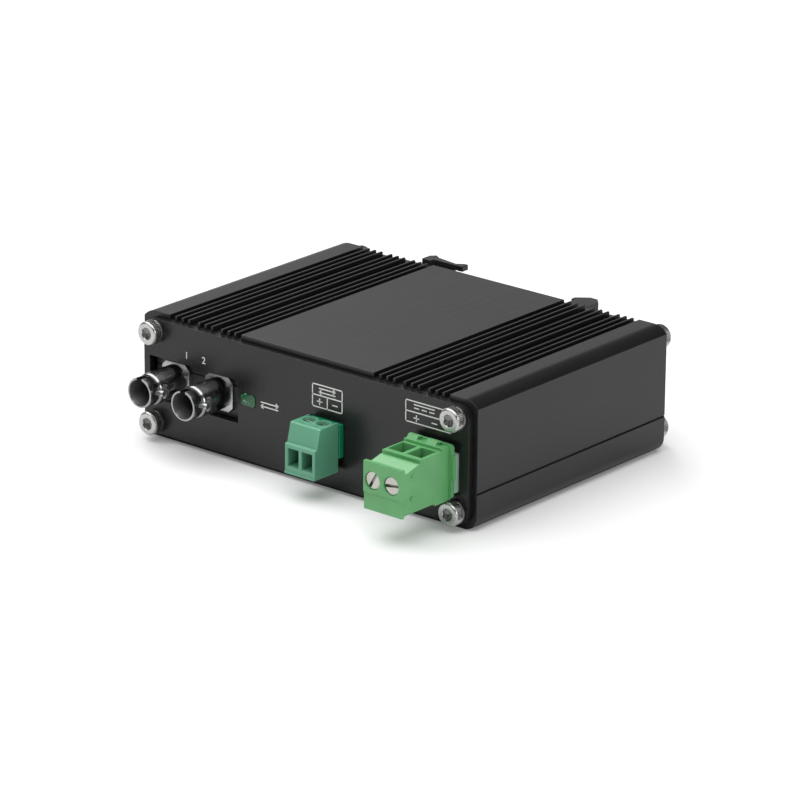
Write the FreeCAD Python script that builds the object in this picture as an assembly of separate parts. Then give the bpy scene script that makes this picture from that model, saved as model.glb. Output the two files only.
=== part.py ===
import FreeCAD
import Part
import math
import os

# Serial to fibre media converter in a split aluminium case. Millimetres, +Z up.
# The origin is the middle of the case's underside. The connectors face -Y, the rail clip +Y.

# Case
case_width = 94.0
case_length = 65.0
case_height = 28.9
side_wall = 2.0
floor_thickness = 2.0
roof_thickness = 3.0
seam_z = 8.4
seam_chamfer = 0.25
bottom_corner_radius = 3.3
top_corner_run = 3.6
top_corner_drop = 1.65
tongue_width = 0.9
tongue_height = 1.2
tongue_clearance = 0.05

# Cooling ribs on the roof
centre_flat_width = 37.4
rib_width = 0.65
rib_height = 1.2
rib_pitch = 1.9
rib_edge_offset = 1.75
rib_group_gap = 2.9
rib_groups = 3
ribs_in_group = 3
rib_top_radius = 0.2

# End panels
panel_thickness = 1.5
panel_inset = 1.25
panel_corner_radius = 3.0

# Corner screws and their channels
screw_inset_x = 4.45
screw_inset_z = 4.03
screw_diameter = 3.0
screw_length = 10.0
screw_head_diameter = 5.4
screw_head_height = 2.2
screw_head_edge = 0.35
screw_socket_width = 2.5
screw_socket_depth = 1.6
screw_hole_clearance = 0.2
thread_clearance = 0.05
washer_thickness = 0.6
washer_outer_diameter = 5.3
washer_split = 0.5
channel_reach = 2.8
channel_cover = 1.9

# Circuit board
board_underside_z = 6.9
board_thickness = 1.6
board_side_clearance = 0.2
board_end_clearance = 0.3
board_ledge_width = 1.6
hold_rib_reach = 0.9
hold_rib_height = 3.4
hold_rib_clearance = 0.1
lead_hole_clearance = 0.12

# Optical transceiver
transceiver_wall_gap = 1.1
transceiver_width = 25.4
transceiver_height = 10.2
transceiver_length = 33.0
transceiver_setback = 0.6
transceiver_seam_depth = 0.25
transceiver_seam_rise = 8.2
fibre_opening_gap = 0.2
fibre_opening_sill = 0.7
fibre_opening_head_gap = 0.3
port_pitch = 12.7
port_axis_rise = 5.9
port_flange_width = 8.0
port_flange_thickness = 1.0
port_flange_chamfer = 1.2
port_length = 11.6
port_tube_radius = 3.4
port_tube_length = 2.7
port_bore_radius = 2.95
port_bore_depth = 7.6
port_rim_chamfer = 0.15
port_groove_depth = 0.2
port_groove_width = 0.3
port_cone_length = 0.5
port_barrel_radius = 3.6
port_key_width = 1.5
port_key_length = 3.0
port_lug_radius = 0.65
port_lug_reach = 4.45
port_lug_setback = 3.1
port_ear_setback = 4.1
port_ear_thickness = 0.8
port_ear_reach = 4.2
port_ear_height = 3.2
port_ear_corner = 1.0
sleeve_bore_radius = 1.26
sleeve_wall = 0.35
sleeve_length = 8.0
sleeve_setback = 4.3
sleeve_clearance = 0.02
transceiver_pin_count = 9
transceiver_pin_pitch = 2.54
transceiver_pin_radius = 0.25
transceiver_pin_setback = 3.0
transceiver_post_radius = 0.8
transceiver_post_spacing = 20.3
transceiver_post_setback = 20.0
lead_length = 2.4

# Status light
window_gap = 1.35
window_rise = 6.65
window_width = 3.9
window_height = 2.7
window_corner_radius = 0.8
window_proud = 0.2
window_clearance = 0.1
light_pipe_length = 9.0
light_pipe_foot = 0.6
light_pipe_leg = 3.0
led_length = 2.0
led_width = 1.25
led_height = 0.8
led_clearance = 0.15

# Connector headers
header_proud = 1.1
header_opening_gap = 0.2
header_pin_slot_clearance = 0.02
header_pin_turn_gap = 0.2

serial_x = 7.05
serial_pitch = 3.81
serial_pole_shift = 0.05
serial_header_width = 8.9
serial_header_height = 7.55
serial_header_depth = 9.2
serial_header_wall = 0.7
serial_cavity_depth = 6.2
serial_pin_rise = 3.6
serial_pin_width = 0.8
serial_pin_reach = 5.4

power_wall_gap = 1.85
power_pitch = 5.08
power_pole_shift = 0.2
power_header_width = 12.4
power_header_height = 8.6
power_header_depth = 12.0
power_header_wall = 0.9
power_cavity_depth = 7.2
power_pin_rise = 4.3
power_pin_width = 1.0
power_pin_reach = 6.2

# Plugs: gaps to their headers and inside
plug_back_gap = 0.1
plug_nose_clearance = 0.2
plug_nose_end_gap = 0.3
socket_clearance = 0.1
contact_thickness = 0.4
contact_seat_clearance = 0.02
cage_clearance = 0.1
cage_end_clearance = 0.1
clamp_thread_clearance = 0.05
clamp_hole_clearance = 0.1
tab_clearance = 0.15
tip_clearance = 0.05

# Serial plug: wires enter the front, screws face up
serial_plug_width = 8.4
serial_plug_reach = 8.75
serial_plug_ledge_reach = 8.0
serial_plug_top_reach = 7.07
serial_plug_drop = 3.0
serial_plug_ledge_rise = 3.8
serial_plug_top_rise = 8.1
serial_plug_edge = 0.3
serial_rim_reach = 0.25
serial_rim_height = 0.5
serial_entry_width = 2.9
serial_entry_height = 4.0
serial_entry_rise = 0.66
serial_entry_flare = 0.12
serial_screw_reach = 3.45
serial_screw_diameter = 2.0
serial_screw_pitch = 0.4
serial_screw_turns = 3
serial_head_diameter = 2.8
serial_head_height = 1.2
serial_head_recess = 0.5
serial_slot_width = 0.45
serial_slot_depth = 0.6
serial_cage_width = 3.2
serial_cage_depth = 3.4
serial_cage_side = 0.35
serial_cage_floor = 0.6
serial_cage_nut = 1.4
serial_cage_opening = 3.9
serial_cage_rise = -1.2
serial_tab_thickness = 0.5
serial_tab_drop = 0.1
serial_slit_width = 0.35
serial_slit_length = 1.9
serial_slit_depth = 0.6
serial_slit_lead = 2.4
serial_boss_radius = 2.0
serial_bay_side = 0.6
serial_bay_length = 1.4
serial_bay_depth = 1.3
serial_tail_width = 5.0
serial_tail_height = 2.2
serial_tail_length = 0.9

# Power plug: wires enter the top, screws face forward
power_plug_width = 10.3
power_plug_reach = 17.2
power_plug_front_drop = 1.5
power_plug_front_rise = 9.2
power_plate_thickness = 0.9
power_notch_reach = 16.0
power_notch_rise = 8.1
power_slant_reach = 11.7
power_slant_rise = 9.1
power_deck_reach = 11.2
power_deck_rise = 9.9
power_ridge_reach = 4.2
power_ridge_rise = 10.5
power_skirt_reach = 6.2
power_skirt_drop = 1.55
power_underside_drop = 1.0
power_step_rise = 2.4
power_step_depth = 0.25
power_step_edge = 0.2
power_flange_reach = 2.0
power_flange_side = 0.9
power_flange_drop = 1.1
power_flange_rise = 10.8
power_flange_corner = 0.8
power_tab_side = 1.35
power_tab_low = 2.9
power_tab_high = 8.3
power_latch_count = 2
power_latch_width = 2.6
power_latch_pitch = 5.2
power_latch_shift = 1.0
power_latch_rise = 11.3
power_latch_lip = 0.55
power_latch_lip_thickness = 0.35
power_latch_length = 1.4
power_latch_reach = 3.6
power_nub_radius = 0.75
power_nub_height = 0.3
power_nub_low = (13.6, 1.9)
power_nub_high = (13.4, 6.8)
power_entry_width = 4.0
power_entry_length = 4.9
power_entry_reach = 9.9
power_screw_rise = 5.2
power_screw_diameter = 2.5
power_screw_pitch = 0.45
power_screw_turns = 4
power_head_diameter = 3.8
power_head_height = 1.6
power_head_recess = 0.3
power_slot_width = 0.6
power_slot_depth = 0.8
power_shoulder = 0.5
power_cage_width = 4.2
power_cage_height = 5.0
power_cage_side = 0.4
power_cage_back = 0.8
power_cage_nut = 1.5
power_cage_opening = 6.0
power_tab_thickness = 0.7
power_tab_width = 2.8
power_tab_top_gap = 0.6
power_strip_thickness = 0.6

# Parts on the board: middle X and Y, then length, width and height
power_module_place = (22.0, 2.0)
power_module_size = (24.0, 18.0, 10.5)
module_edge = 0.8
inductor_place = (0.0, 6.0)
inductor_size = (10.0, 10.0, 5.0)
inductor_core_radius = 3.9
inductor_core_rise = 0.5
capacitor_radius = 4.0
capacitor_height = 11.5
capacitor_base_height = 1.0
capacitor_middle_x = (-6.0, 8.0)
capacitor_y = 21.0
capacitor_wall_gap = 3.0
chip_height = 2.2
chip_lead_reach = 1.2
chip_lead_thickness = 0.3
chip_lead_width = 0.45
chip_lead_pitch = 1.27
chip_lead_count = 8
chip_body_size = (10.3, 7.4)
chip_shift = 1.2
chip_rear_y = (10.0, 23.0)
chip_front_y = -10.0
isolator_body_size = (9.6, 6.4)
isolator_lead_count = 4
isolator_lead_pitch = 2.54
isolator_height = 3.4
isolator_places = ((3.0, -16.0), (3.0, -6.0), (22.0, 20.0))
diode_size = (6.9, 5.9, 2.3)
diode_header_gap = 5.3
diode_y = (-24.0, -16.0)
fuse_shift = 0.95
fuse_y = -16.0
fuse_radius = 4.2
fuse_thickness = 2.6
fuse_lead_radius = 0.35
fuse_lead_spacing = 5.1
fuse_standoff = 1.0

# Clip for a 35 mm top-hat rail
rail_width = 35.0
rail_lip_thickness = 1.0
rail_lip_gap = 0.4
rail_fit = 0.1
clip_edge_gap = 1.45
clip_base_thickness = 2.2
clip_right_x = 22.9
hook_edge_gap = 0.2
hook_lip_reach = 0.9
hook_tip_rise = 1.2
hook_back_reach = 7.0
hook_side_reach = 5.4
hook_back_in = 3.5
hook_back_out = 1.5
guide_end_x = -33.0
guide_inner_x = -18.2
guide_width = 2.05
guide_lip = 1.2
guide_lip_thickness = 0.8
guide_clearance = 0.1
latch_plate_thickness = 0.8
latch_travel = 2.0
latch_block_left = 26.7
latch_block_right = 24.1
latch_block_reach = 8.1
latch_block_bevel = 1.2
latch_bar_reach = 6.2
latch_bar_rise = 0.9
latch_bar_thickness = 0.9
latch_bar_end = 18.4
latch_lip_reach = 1.3
latch_tip_end = 15.8
latch_tip_reach = 7.4
latch_tip_length = 1.0
latch_tip_height = 1.3
pull_tab_length = 4.8
pull_tab_height = 11.0
pull_tab_thickness = 2.2
pull_slot_length = 1.2
pull_slot_height = 6.0
spring_post_length = 2.4
spring_post_height = 2.8
spring_length = 8.0
spring_radius = 1.5
spring_wire_radius = 0.2
spring_turns = 7
spring_gap = 0.05
spring_slot_clearance = 0.15
clip_screw_places = (-10.0, 12.0)
clip_screw_length = 5.6
clip_screw_head_diameter = 5.6
clip_screw_head_height = 1.65
clip_screw_recess = 0.15
clip_screw_socket_width = 2.0
clip_screw_socket_depth = 1.0

# Places that several pieces share
side_x = case_width / 2
inner_x = side_x - side_wall
half_length = case_length / 2
front_y = -half_length - panel_thickness
rear_y = half_length + panel_thickness
roof_underside_z = case_height - roof_thickness
screw_x = side_x - screw_inset_x
screw_heights = (screw_inset_z, case_height - screw_inset_z)
channel_x = screw_x - channel_reach
board_top = board_underside_z + board_thickness
board_half_width = inner_x - board_side_clearance
board_half_length = half_length - board_end_clearance
transceiver_x = -inner_x + transceiver_wall_gap + transceiver_width / 2
transceiver_side_x = transceiver_x + transceiver_width / 2
window_x = transceiver_side_x + window_gap + window_width / 2
transceiver_front_y = -half_length + transceiver_setback
port_axis_z = board_top + port_axis_rise
header_front_y = front_y - header_proud
plug_back_y = header_front_y - plug_back_gap
serial_middle = serial_x - serial_pole_shift
serial_poles = (serial_middle - serial_pitch / 2, serial_middle + serial_pitch / 2)
power_x = inner_x - power_wall_gap - power_header_width / 2
power_middle = power_x - power_pole_shift
power_poles = (power_middle - power_pitch / 2, power_middle + power_pitch / 2)
serial_pin_z = board_top + serial_pin_rise
power_pin_z = board_top + power_pin_rise
isolator_side_x = isolator_places[0][0] - isolator_body_size[0] / 2
chip_places = [(transceiver_x + chip_shift, y) for y in chip_rear_y]
chip_places.append(((transceiver_side_x + isolator_side_x) / 2, chip_front_y))
capacitor_x = (*capacitor_middle_x, inner_x - capacitor_wall_gap - capacitor_radius)
diode_x = power_x - power_header_width / 2 - diode_header_gap - diode_size[0] / 2
fuse_x = power_x - fuse_shift
clip_z_middle = case_height / 2
panel_z = (panel_inset, case_height - panel_inset)
clip_low = panel_z[0] + clip_edge_gap
clip_high = panel_z[1] - clip_edge_gap
hook_z = (panel_z[0] + hook_edge_gap, panel_z[1] - hook_edge_gap)
clip_face_y = rear_y + clip_base_thickness
rail_edge_x = rail_width / 2 + rail_fit
rail_lip_y = clip_face_y + rail_lip_thickness + rail_lip_gap


def vector(x, y, z):
    return FreeCAD.Vector(x, y, z)


def box(x, y, z):
    """Block between two limits on each axis."""
    corner = vector(min(x), min(y), min(z))
    return Part.makeBox(abs(x[1] - x[0]), abs(y[1] - y[0]), abs(z[1] - z[0]), corner)


def around(middle, width):
    """The two limits of a width about its middle."""
    return (middle - width / 2, middle + width / 2)


def rod_x(radius, x, y, z):
    return Part.makeCylinder(radius, abs(x[1] - x[0]), vector(min(x), y, z), vector(1, 0, 0))


def rod_y(radius, x, y, z):
    return Part.makeCylinder(radius, abs(y[1] - y[0]), vector(x, min(y), z), vector(0, 1, 0))


def rod_z(radius, x, y, z):
    return Part.makeCylinder(radius, abs(z[1] - z[0]), vector(x, y, min(z)), vector(0, 0, 1))


def prism(points, run):
    """Straight-sided solid: a flat outline moved along one vector."""
    face = Part.Face(Part.makePolygon(points + [points[0]]))
    return face.extrude(run)


def prism_x(points, x):
    outline = [vector(min(x), y, z) for y, z in points]
    return prism(outline, vector(abs(x[1] - x[0]), 0, 0))


def prism_y(points, y):
    outline = [vector(x, min(y), z) for x, z in points]
    return prism(outline, vector(0, abs(y[1] - y[0]), 0))


def prism_z(points, z):
    outline = [vector(x, y, min(z)) for x, y in points]
    return prism(outline, vector(0, 0, abs(z[1] - z[0])))


def union(shapes):
    whole = shapes[0]
    for shape in shapes[1:]:
        whole = whole.fuse(shape)
    return whole.removeSplitter()


def cut_all(body, tools):
    for tool in tools:
        body = body.cut(tool)
    return body


def both_sides(half):
    """Adds the mirror image of one half about the middle plane."""
    return half.fuse(half.mirror(vector(0, 0, 0), vector(1, 0, 0))).removeSplitter()


def to_rear(shape):
    """The same fastener turned to face the other way along Y."""
    return shape.mirror(vector(0, 0, 0), vector(0, 1, 0))


def edges_along(shape, direction):
    found = []
    for edge in shape.Edges:
        if len(edge.Vertexes) == 2 and isinstance(edge.Curve, Part.Line):
            if abs(edge.Curve.Direction.dot(direction)) > math.cos(math.radians(1)):
                found.append(edge)
    return found


def rounded_along(shape, direction, radius):
    return shape.makeFillet(radius, edges_along(shape, direction))


def hexagon_y(width, x, y, z):
    """Six-sided socket along Y, given its width across flats."""
    corner = width / math.sqrt(3)
    points = []
    for step in range(6):
        turn = math.radians(60 * step)
        points.append((x + corner * math.cos(turn), z + corner * math.sin(turn)))
    return prism_y(points, y)


def above_board(rise):
    return board_top + rise


def ahead(reach):
    """Y of a point that stands this far in front of the front panel."""
    return front_y - reach


# Case


def top_corner():
    """Arc from the side of the case up to the flat roof."""
    radius = (top_corner_run ** 2 + top_corner_drop ** 2) / (2 * top_corner_drop)
    middle_x = side_x - top_corner_run
    middle_z = case_height - radius
    turn = math.asin(top_corner_run / radius) / 2
    start = vector(side_x, -half_length, case_height - top_corner_drop)
    halfway = vector(middle_x + radius * math.sin(turn), -half_length, middle_z + radius * math.cos(turn))
    end = vector(middle_x, -half_length, case_height)
    return Part.Arc(start, halfway, end).toShape()


def shell_half(straight_points, arc):
    """Extrusion of one half section, closed by one arc."""
    points = [vector(x, -half_length, z) for x, z in straight_points]
    face = Part.Face(Part.Wire(Part.makePolygon(points).Edges + [arc]))
    return face.extrude(vector(0, case_length, 0))


def recess_width():
    steps = rib_groups * (ribs_in_group - 1) * rib_pitch
    return 2 * rib_edge_offset + steps + (rib_groups - 1) * rib_group_gap


def roof_recess():
    start = centre_flat_width / 2
    return box((start, start + recess_width()), (-half_length, half_length), (case_height - rib_height, case_height))


def rib_centres():
    centres = []
    x = centre_flat_width / 2 + rib_edge_offset
    for group in range(rib_groups):
        for number in range(ribs_in_group):
            centres.append(x + number * rib_pitch)
        x = centres[-1] + rib_group_gap
    return centres


def cooling_rib(x):
    rib = box(around(x, rib_width), (-half_length, half_length), (case_height - rib_height, case_height))
    tops = [e for e in edges_along(rib, vector(0, 1, 0)) if e.CenterOfMass.z > case_height - rib_height / 2]
    return rib.makeFillet(rib_top_radius, tops)


def upper_shell():
    groove_x = inner_x + tongue_width + tongue_clearance
    groove_top = seam_z + tongue_height + tongue_clearance
    rib_x = inner_x - hold_rib_reach
    rib_foot_x = inner_x - hold_rib_clearance
    rib_foot_z = board_top + hold_rib_clearance
    rib_root_z = rib_foot_z + hold_rib_height
    channel_low = screw_heights[1] - channel_cover
    corner = top_corner()
    points = [
        (side_x - top_corner_run, case_height),
        (0, case_height),
        (0, roof_underside_z),
        (channel_x, roof_underside_z),
        (channel_x, channel_low),
        (inner_x, channel_low),
        (inner_x, rib_root_z),
        (rib_x, rib_root_z - hold_rib_reach),
        (rib_x, rib_foot_z),
        (rib_foot_x, rib_foot_z),
        (rib_foot_x, groove_top),
        (groove_x, groove_top),
        (groove_x, seam_z),
        (side_x - seam_chamfer, seam_z),
        (side_x, seam_z + seam_chamfer),
        (side_x, case_height - top_corner_drop),
    ]
    half = shell_half(points, corner).cut(roof_recess())
    half = half.fuse([cooling_rib(x) for x in rib_centres()])
    half = half.cut(screw_channel(screw_heights[1]))
    return both_sides(half)


def lower_shell():
    radius = bottom_corner_radius
    middle_x = side_x - radius
    slope = radius * math.sqrt(0.5)
    start = vector(middle_x, -half_length, 0)
    halfway = vector(middle_x + slope, -half_length, radius - slope)
    end = vector(side_x, -half_length, radius)
    corner = Part.Arc(start, halfway, end).toShape()
    points = [
        (side_x, radius),
        (side_x, seam_z - seam_chamfer),
        (side_x - seam_chamfer, seam_z),
        (inner_x + tongue_width, seam_z),
        (inner_x + tongue_width, seam_z + tongue_height),
        (inner_x, seam_z + tongue_height),
        (inner_x, board_underside_z),
        (inner_x - board_ledge_width, board_underside_z),
        (inner_x - board_ledge_width, screw_heights[0] + channel_cover),
        (channel_x, screw_heights[0] + channel_cover),
        (channel_x, floor_thickness),
        (0, floor_thickness),
        (0, 0),
        (middle_x, 0),
    ]
    half = shell_half(points, corner).cut(screw_channel(screw_heights[0]))
    return both_sides(half)


def screw_channel(z):
    radius = screw_diameter / 2 + thread_clearance
    return rod_y(radius, screw_x, (-half_length, half_length), z)


def screw_places():
    return [(side * screw_x, z) for side in (-1, 1) for z in screw_heights]


def plain_panel(y):
    plate = box(
        around(0, case_width - 2 * panel_inset),
        (y, y + panel_thickness),
        panel_z,
    )
    plate = rounded_along(plate, vector(0, 1, 0), panel_corner_radius)
    radius = screw_diameter / 2 + screw_hole_clearance
    holes = [rod_y(radius, x, (y, y + panel_thickness), z) for x, z in screw_places()]
    return cut_all(plate, holes)


def header_opening(x, width, height):
    gap = header_opening_gap
    return box(
        around(x, width + 2 * gap),
        (front_y, -half_length),
        (board_top - gap, board_top + height + gap),
    )


def window_block(gap, y):
    block = box(
        around(window_x, window_width + 2 * gap),
        y,
        around(above_board(window_rise), window_height + 2 * gap),
    )
    return rounded_along(block, vector(0, 1, 0), window_corner_radius)


def front_panel():
    opening = box(
        around(transceiver_x, transceiver_width + 2 * fibre_opening_gap),
        (front_y, -half_length),
        (above_board(fibre_opening_sill), above_board(transceiver_height + fibre_opening_head_gap)),
    )
    cuts = [
        opening,
        window_block(window_clearance, (front_y, -half_length)),
        header_opening(serial_x, serial_header_width, serial_header_height),
        header_opening(power_x, power_header_width, power_header_height),
    ]
    return cut_all(plain_panel(front_y), cuts)


def rear_panel():
    radius = screw_diameter / 2 + thread_clearance
    holes = [rod_y(radius, x, (half_length, rear_y), clip_z_middle) for x in clip_screw_places]
    return cut_all(plain_panel(half_length), holes)


def cap_screw(x, z):
    """Corner screw of the rear panel, head outward."""
    seat = rear_y + washer_thickness
    top = seat + screw_head_height
    head = rod_y(screw_head_diameter / 2, x, (seat, top), z)
    rim = [e for e in head.Edges if len(e.Vertexes) == 1 and e.CenterOfMass.y > top - screw_head_edge]
    head = head.makeFillet(screw_head_edge, rim)
    shank = rod_y(screw_diameter / 2, x, (seat - screw_length, seat), z)
    socket = hexagon_y(screw_socket_width, x, (top - screw_socket_depth, top), z)
    return head.fuse(shank).cut(socket)


def lock_washer(x, z):
    """Split spring washer under one screw head."""
    limits = (rear_y, rear_y + washer_thickness)
    ring = rod_y(washer_outer_diameter / 2, x, limits, z)
    ring = ring.cut(rod_y(screw_diameter / 2 + screw_hole_clearance, x, limits, z))
    return ring.cut(box(around(x, washer_split), limits, (z, z + washer_outer_diameter)))


def rear_panel_screws():
    return Part.makeCompound([cap_screw(x, z) for x, z in screw_places()])


def front_panel_screws():
    return Part.makeCompound([to_rear(cap_screw(x, z)) for x, z in screw_places()])


def rear_lock_washers():
    return Part.makeCompound([lock_washer(x, z) for x, z in screw_places()])


def front_lock_washers():
    return Part.makeCompound([to_rear(lock_washer(x, z)) for x, z in screw_places()])


# Circuit board and the parts soldered to it


def transceiver_pin_places():
    y = transceiver_front_y + transceiver_length - transceiver_pin_setback
    first = transceiver_x - (transceiver_pin_count - 1) * transceiver_pin_pitch / 2
    return [(first + number * transceiver_pin_pitch, y) for number in range(transceiver_pin_count)]


def transceiver_post_places():
    y = transceiver_front_y + transceiver_length - transceiver_post_setback
    return [(x, y) for x in around(transceiver_x, transceiver_post_spacing)]


def serial_leg_y():
    return header_front_y + serial_header_depth + header_pin_turn_gap + serial_pin_width / 2


def power_leg_y():
    return header_front_y + power_header_depth + header_pin_turn_gap + power_pin_width / 2


def board_hole(x, y, radius):
    return rod_z(radius + lead_hole_clearance, x, y, (board_underside_z, board_top))


def circuit_board():
    board = box(
        (-board_half_width, board_half_width),
        (-board_half_length, board_half_length),
        (board_underside_z, board_top),
    )
    diagonal = math.sqrt(0.5)
    holes = [board_hole(x, y, transceiver_pin_radius) for x, y in transceiver_pin_places()]
    holes += [board_hole(x, y, transceiver_post_radius) for x, y in transceiver_post_places()]
    holes += [board_hole(x, serial_leg_y(), serial_pin_width * diagonal) for x in serial_poles]
    holes += [board_hole(x, power_leg_y(), power_pin_width * diagonal) for x in power_poles]
    holes += [board_hole(x, fuse_y, fuse_lead_radius) for x in around(fuse_x, fuse_lead_spacing)]
    return cut_all(board, holes)


def transceiver_housing():
    y = (transceiver_front_y, transceiver_front_y + transceiver_length)
    body = box(around(transceiver_x, transceiver_width), y, (board_top, above_board(transceiver_height)))
    seam = box(
        around(transceiver_x, transceiver_width),
        (y[0], y[0] + transceiver_seam_depth),
        around(above_board(transceiver_seam_rise), transceiver_seam_depth),
    )
    return body.cut(seam)


def fibre_port(x):
    """Bayonet receptacle: square flange, barrel with two ears, tube with key slot and two lugs."""
    back = transceiver_front_y
    flange_front = back - port_flange_thickness
    tip = flange_front - port_length
    flange = box(around(x, port_flange_width), (flange_front, back), around(port_axis_z, port_flange_width))
    flange = flange.makeChamfer(port_flange_chamfer, edges_along(flange, vector(0, 1, 0)))
    shoulder = tip + port_tube_length + port_groove_width
    barrel = rod_y(port_barrel_radius, x, (shoulder + port_cone_length, flange_front), port_axis_z)
    start = vector(x, shoulder, port_axis_z)
    cone = Part.makeCone(port_tube_radius, port_barrel_radius, port_cone_length, start, vector(0, 1, 0))
    neck = rod_y(port_tube_radius - port_groove_depth, x, (tip + port_tube_length, shoulder), port_axis_z)
    tube = rod_y(port_tube_radius, x, (tip, tip + port_tube_length), port_axis_z)
    rim = [e for e in tube.Edges if len(e.Vertexes) == 1 and e.CenterOfMass.y < tip + port_rim_chamfer]
    tube = tube.makeChamfer(port_rim_chamfer, rim)
    lugs = rod_x(port_lug_radius, around(x, 2 * port_lug_reach), tip + port_lug_setback, port_axis_z)
    ears = box(
        around(x, 2 * port_ear_reach),
        (tip + port_ear_setback, tip + port_ear_setback + port_ear_thickness),
        around(port_axis_z, port_ear_height),
    )
    ears = rounded_along(ears, vector(0, 1, 0), port_ear_corner)
    body = flange.fuse([barrel, cone, neck, tube, lugs, ears])
    bore = rod_y(port_bore_radius, x, (tip, tip + port_bore_depth), port_axis_z)
    seat_radius = sleeve_bore_radius + sleeve_wall + sleeve_clearance
    seat = rod_y(seat_radius, x, (tip, tip + sleeve_setback + sleeve_length), port_axis_z)
    key = box(
        around(x, port_key_width),
        (tip, tip + port_key_length),
        (port_axis_z, port_axis_z + port_tube_radius),
    )
    return cut_all(body, [bore, seat, key]).removeSplitter()


def transmit_port():
    return fibre_port(transceiver_x - port_pitch / 2)


def receive_port():
    return fibre_port(transceiver_x + port_pitch / 2)


def alignment_sleeves():
    tip = transceiver_front_y - port_flange_thickness - port_length
    y = (tip + sleeve_setback, tip + sleeve_setback + sleeve_length)
    sleeves = []
    for x in around(transceiver_x, port_pitch):
        outer = rod_y(sleeve_bore_radius + sleeve_wall, x, y, port_axis_z)
        sleeves.append(outer.cut(rod_y(sleeve_bore_radius, x, y, port_axis_z)))
    return Part.makeCompound(sleeves)


def transceiver_pins():
    z = (board_top - lead_length, board_top)
    leads = [rod_z(transceiver_pin_radius, x, y, z) for x, y in transceiver_pin_places()]
    posts = [rod_z(transceiver_post_radius, x, y, z) for x, y in transceiver_post_places()]
    return Part.makeCompound(leads + posts)


def light_pipe():
    """Clear bar from the window back over the light, with a leg down to the board."""
    front = front_y - window_proud
    back = front + light_pipe_length
    low = above_board(window_rise) - window_height / 2
    high = low + window_height
    bar = window_block(0, (front, back))
    leg = box(around(window_x, window_width), (back - light_pipe_leg, back), (board_top, high - window_corner_radius))
    foot_inner = window_width - 2 * light_pipe_foot
    hollow = box(
        around(window_x, foot_inner),
        (back - light_pipe_leg, back),
        (board_top, board_top + led_height + led_clearance),
    )
    mirror = prism_x(
        [(back, low), (back, high), (back - window_height, high)],
        around(window_x, window_width),
    )
    return cut_all(bar.fuse(leg), [hollow, mirror]).removeSplitter()


def status_led():
    y = front_y - window_proud + light_pipe_length - light_pipe_leg / 2
    return box(around(window_x, led_length), around(y, led_width), (board_top, board_top + led_height))


def header(x, poles, width, height, depth, wall, cavity_depth, pin_width, pin_z):
    """Socket block on the board: open box towards the front with pin slots in its back."""
    back_y = header_front_y + depth
    block = box(around(x, width), (header_front_y, back_y), (board_top, board_top + height))
    cavity = box(
        around(x, width - 2 * wall),
        (header_front_y, header_front_y + cavity_depth),
        (board_top + wall, board_top + height - wall),
    )
    slot = pin_width + 2 * header_pin_slot_clearance
    slots = [box(around(pole, slot), (header_front_y, back_y), around(pin_z, slot)) for pole in poles]
    return cut_all(block, [cavity] + slots)


def header_pins(poles, width, z, tip_y, leg_y):
    """Square pins that turn down through the board behind the header."""
    pins = []
    for x in poles:
        bar = box(around(x, width), (tip_y, leg_y + width / 2), around(z, width))
        leg = box(around(x, width), around(leg_y, width), (board_top - lead_length, z))
        pins.append(bar.fuse(leg).removeSplitter())
    return Part.makeCompound(pins)


def serial_header():
    return header(
        serial_x,
        serial_poles,
        serial_header_width,
        serial_header_height,
        serial_header_depth,
        serial_header_wall,
        serial_cavity_depth,
        serial_pin_width,
        serial_pin_z,
    )


def serial_header_pins():
    tip = header_front_y + serial_cavity_depth - serial_pin_reach
    return header_pins(serial_poles, serial_pin_width, serial_pin_z, tip, serial_leg_y())


def power_header():
    return header(
        power_x,
        power_poles,
        power_header_width,
        power_header_height,
        power_header_depth,
        power_header_wall,
        power_cavity_depth,
        power_pin_width,
        power_pin_z,
    )


def power_header_pins():
    tip = header_front_y + power_cavity_depth - power_pin_reach
    return header_pins(power_poles, power_pin_width, power_pin_z, tip, power_leg_y())


# Plugs


def plug_nose(x, width, height, wall, cavity_depth):
    """Block that enters the header."""
    gap = wall + plug_nose_clearance
    return box(
        around(x, width - 2 * gap),
        (plug_back_y, header_front_y + cavity_depth - plug_nose_end_gap),
        (board_top + gap, board_top + height - gap),
    )


def contact_tube(x, z, pin_width, y, clearance):
    outer = pin_width + 2 * (socket_clearance + contact_thickness + clearance)
    return box(around(x, outer), y, around(z, outer))


def nose_end_y(cavity_depth):
    return header_front_y + cavity_depth - plug_nose_end_gap


def slotted_screw(diameter, head_diameter, head_height, length, slot_width, slot_depth):
    """Clamping screw along Z with the underside of its head at the origin."""
    head = rod_z(head_diameter / 2, 0, 0, (0, head_height))
    shank = rod_z(diameter / 2, 0, 0, (-length, 0))
    slot = box(
        around(0, head_diameter),
        around(0, slot_width),
        (head_height - slot_depth, head_height),
    )
    return head.fuse(shank).cut(slot)


# Serial plug


def serial_front_y():
    return ahead(serial_plug_reach)


def serial_screw_y():
    return ahead(serial_screw_reach)


def serial_head_z():
    """Underside of the clamping screws' heads."""
    return above_board(serial_plug_top_rise) - serial_head_recess - serial_head_height


def serial_cage_z():
    """Lower end of the cages when the clamps are open."""
    return above_board(serial_cage_rise) - serial_cage_floor


def serial_travel():
    return serial_screw_pitch * serial_screw_turns


def serial_nut_z():
    return serial_cage_z() + serial_cage_floor + serial_cage_opening


def serial_tab_z():
    high = serial_nut_z() - serial_tab_drop
    return (high - serial_tab_thickness, high)


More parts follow.
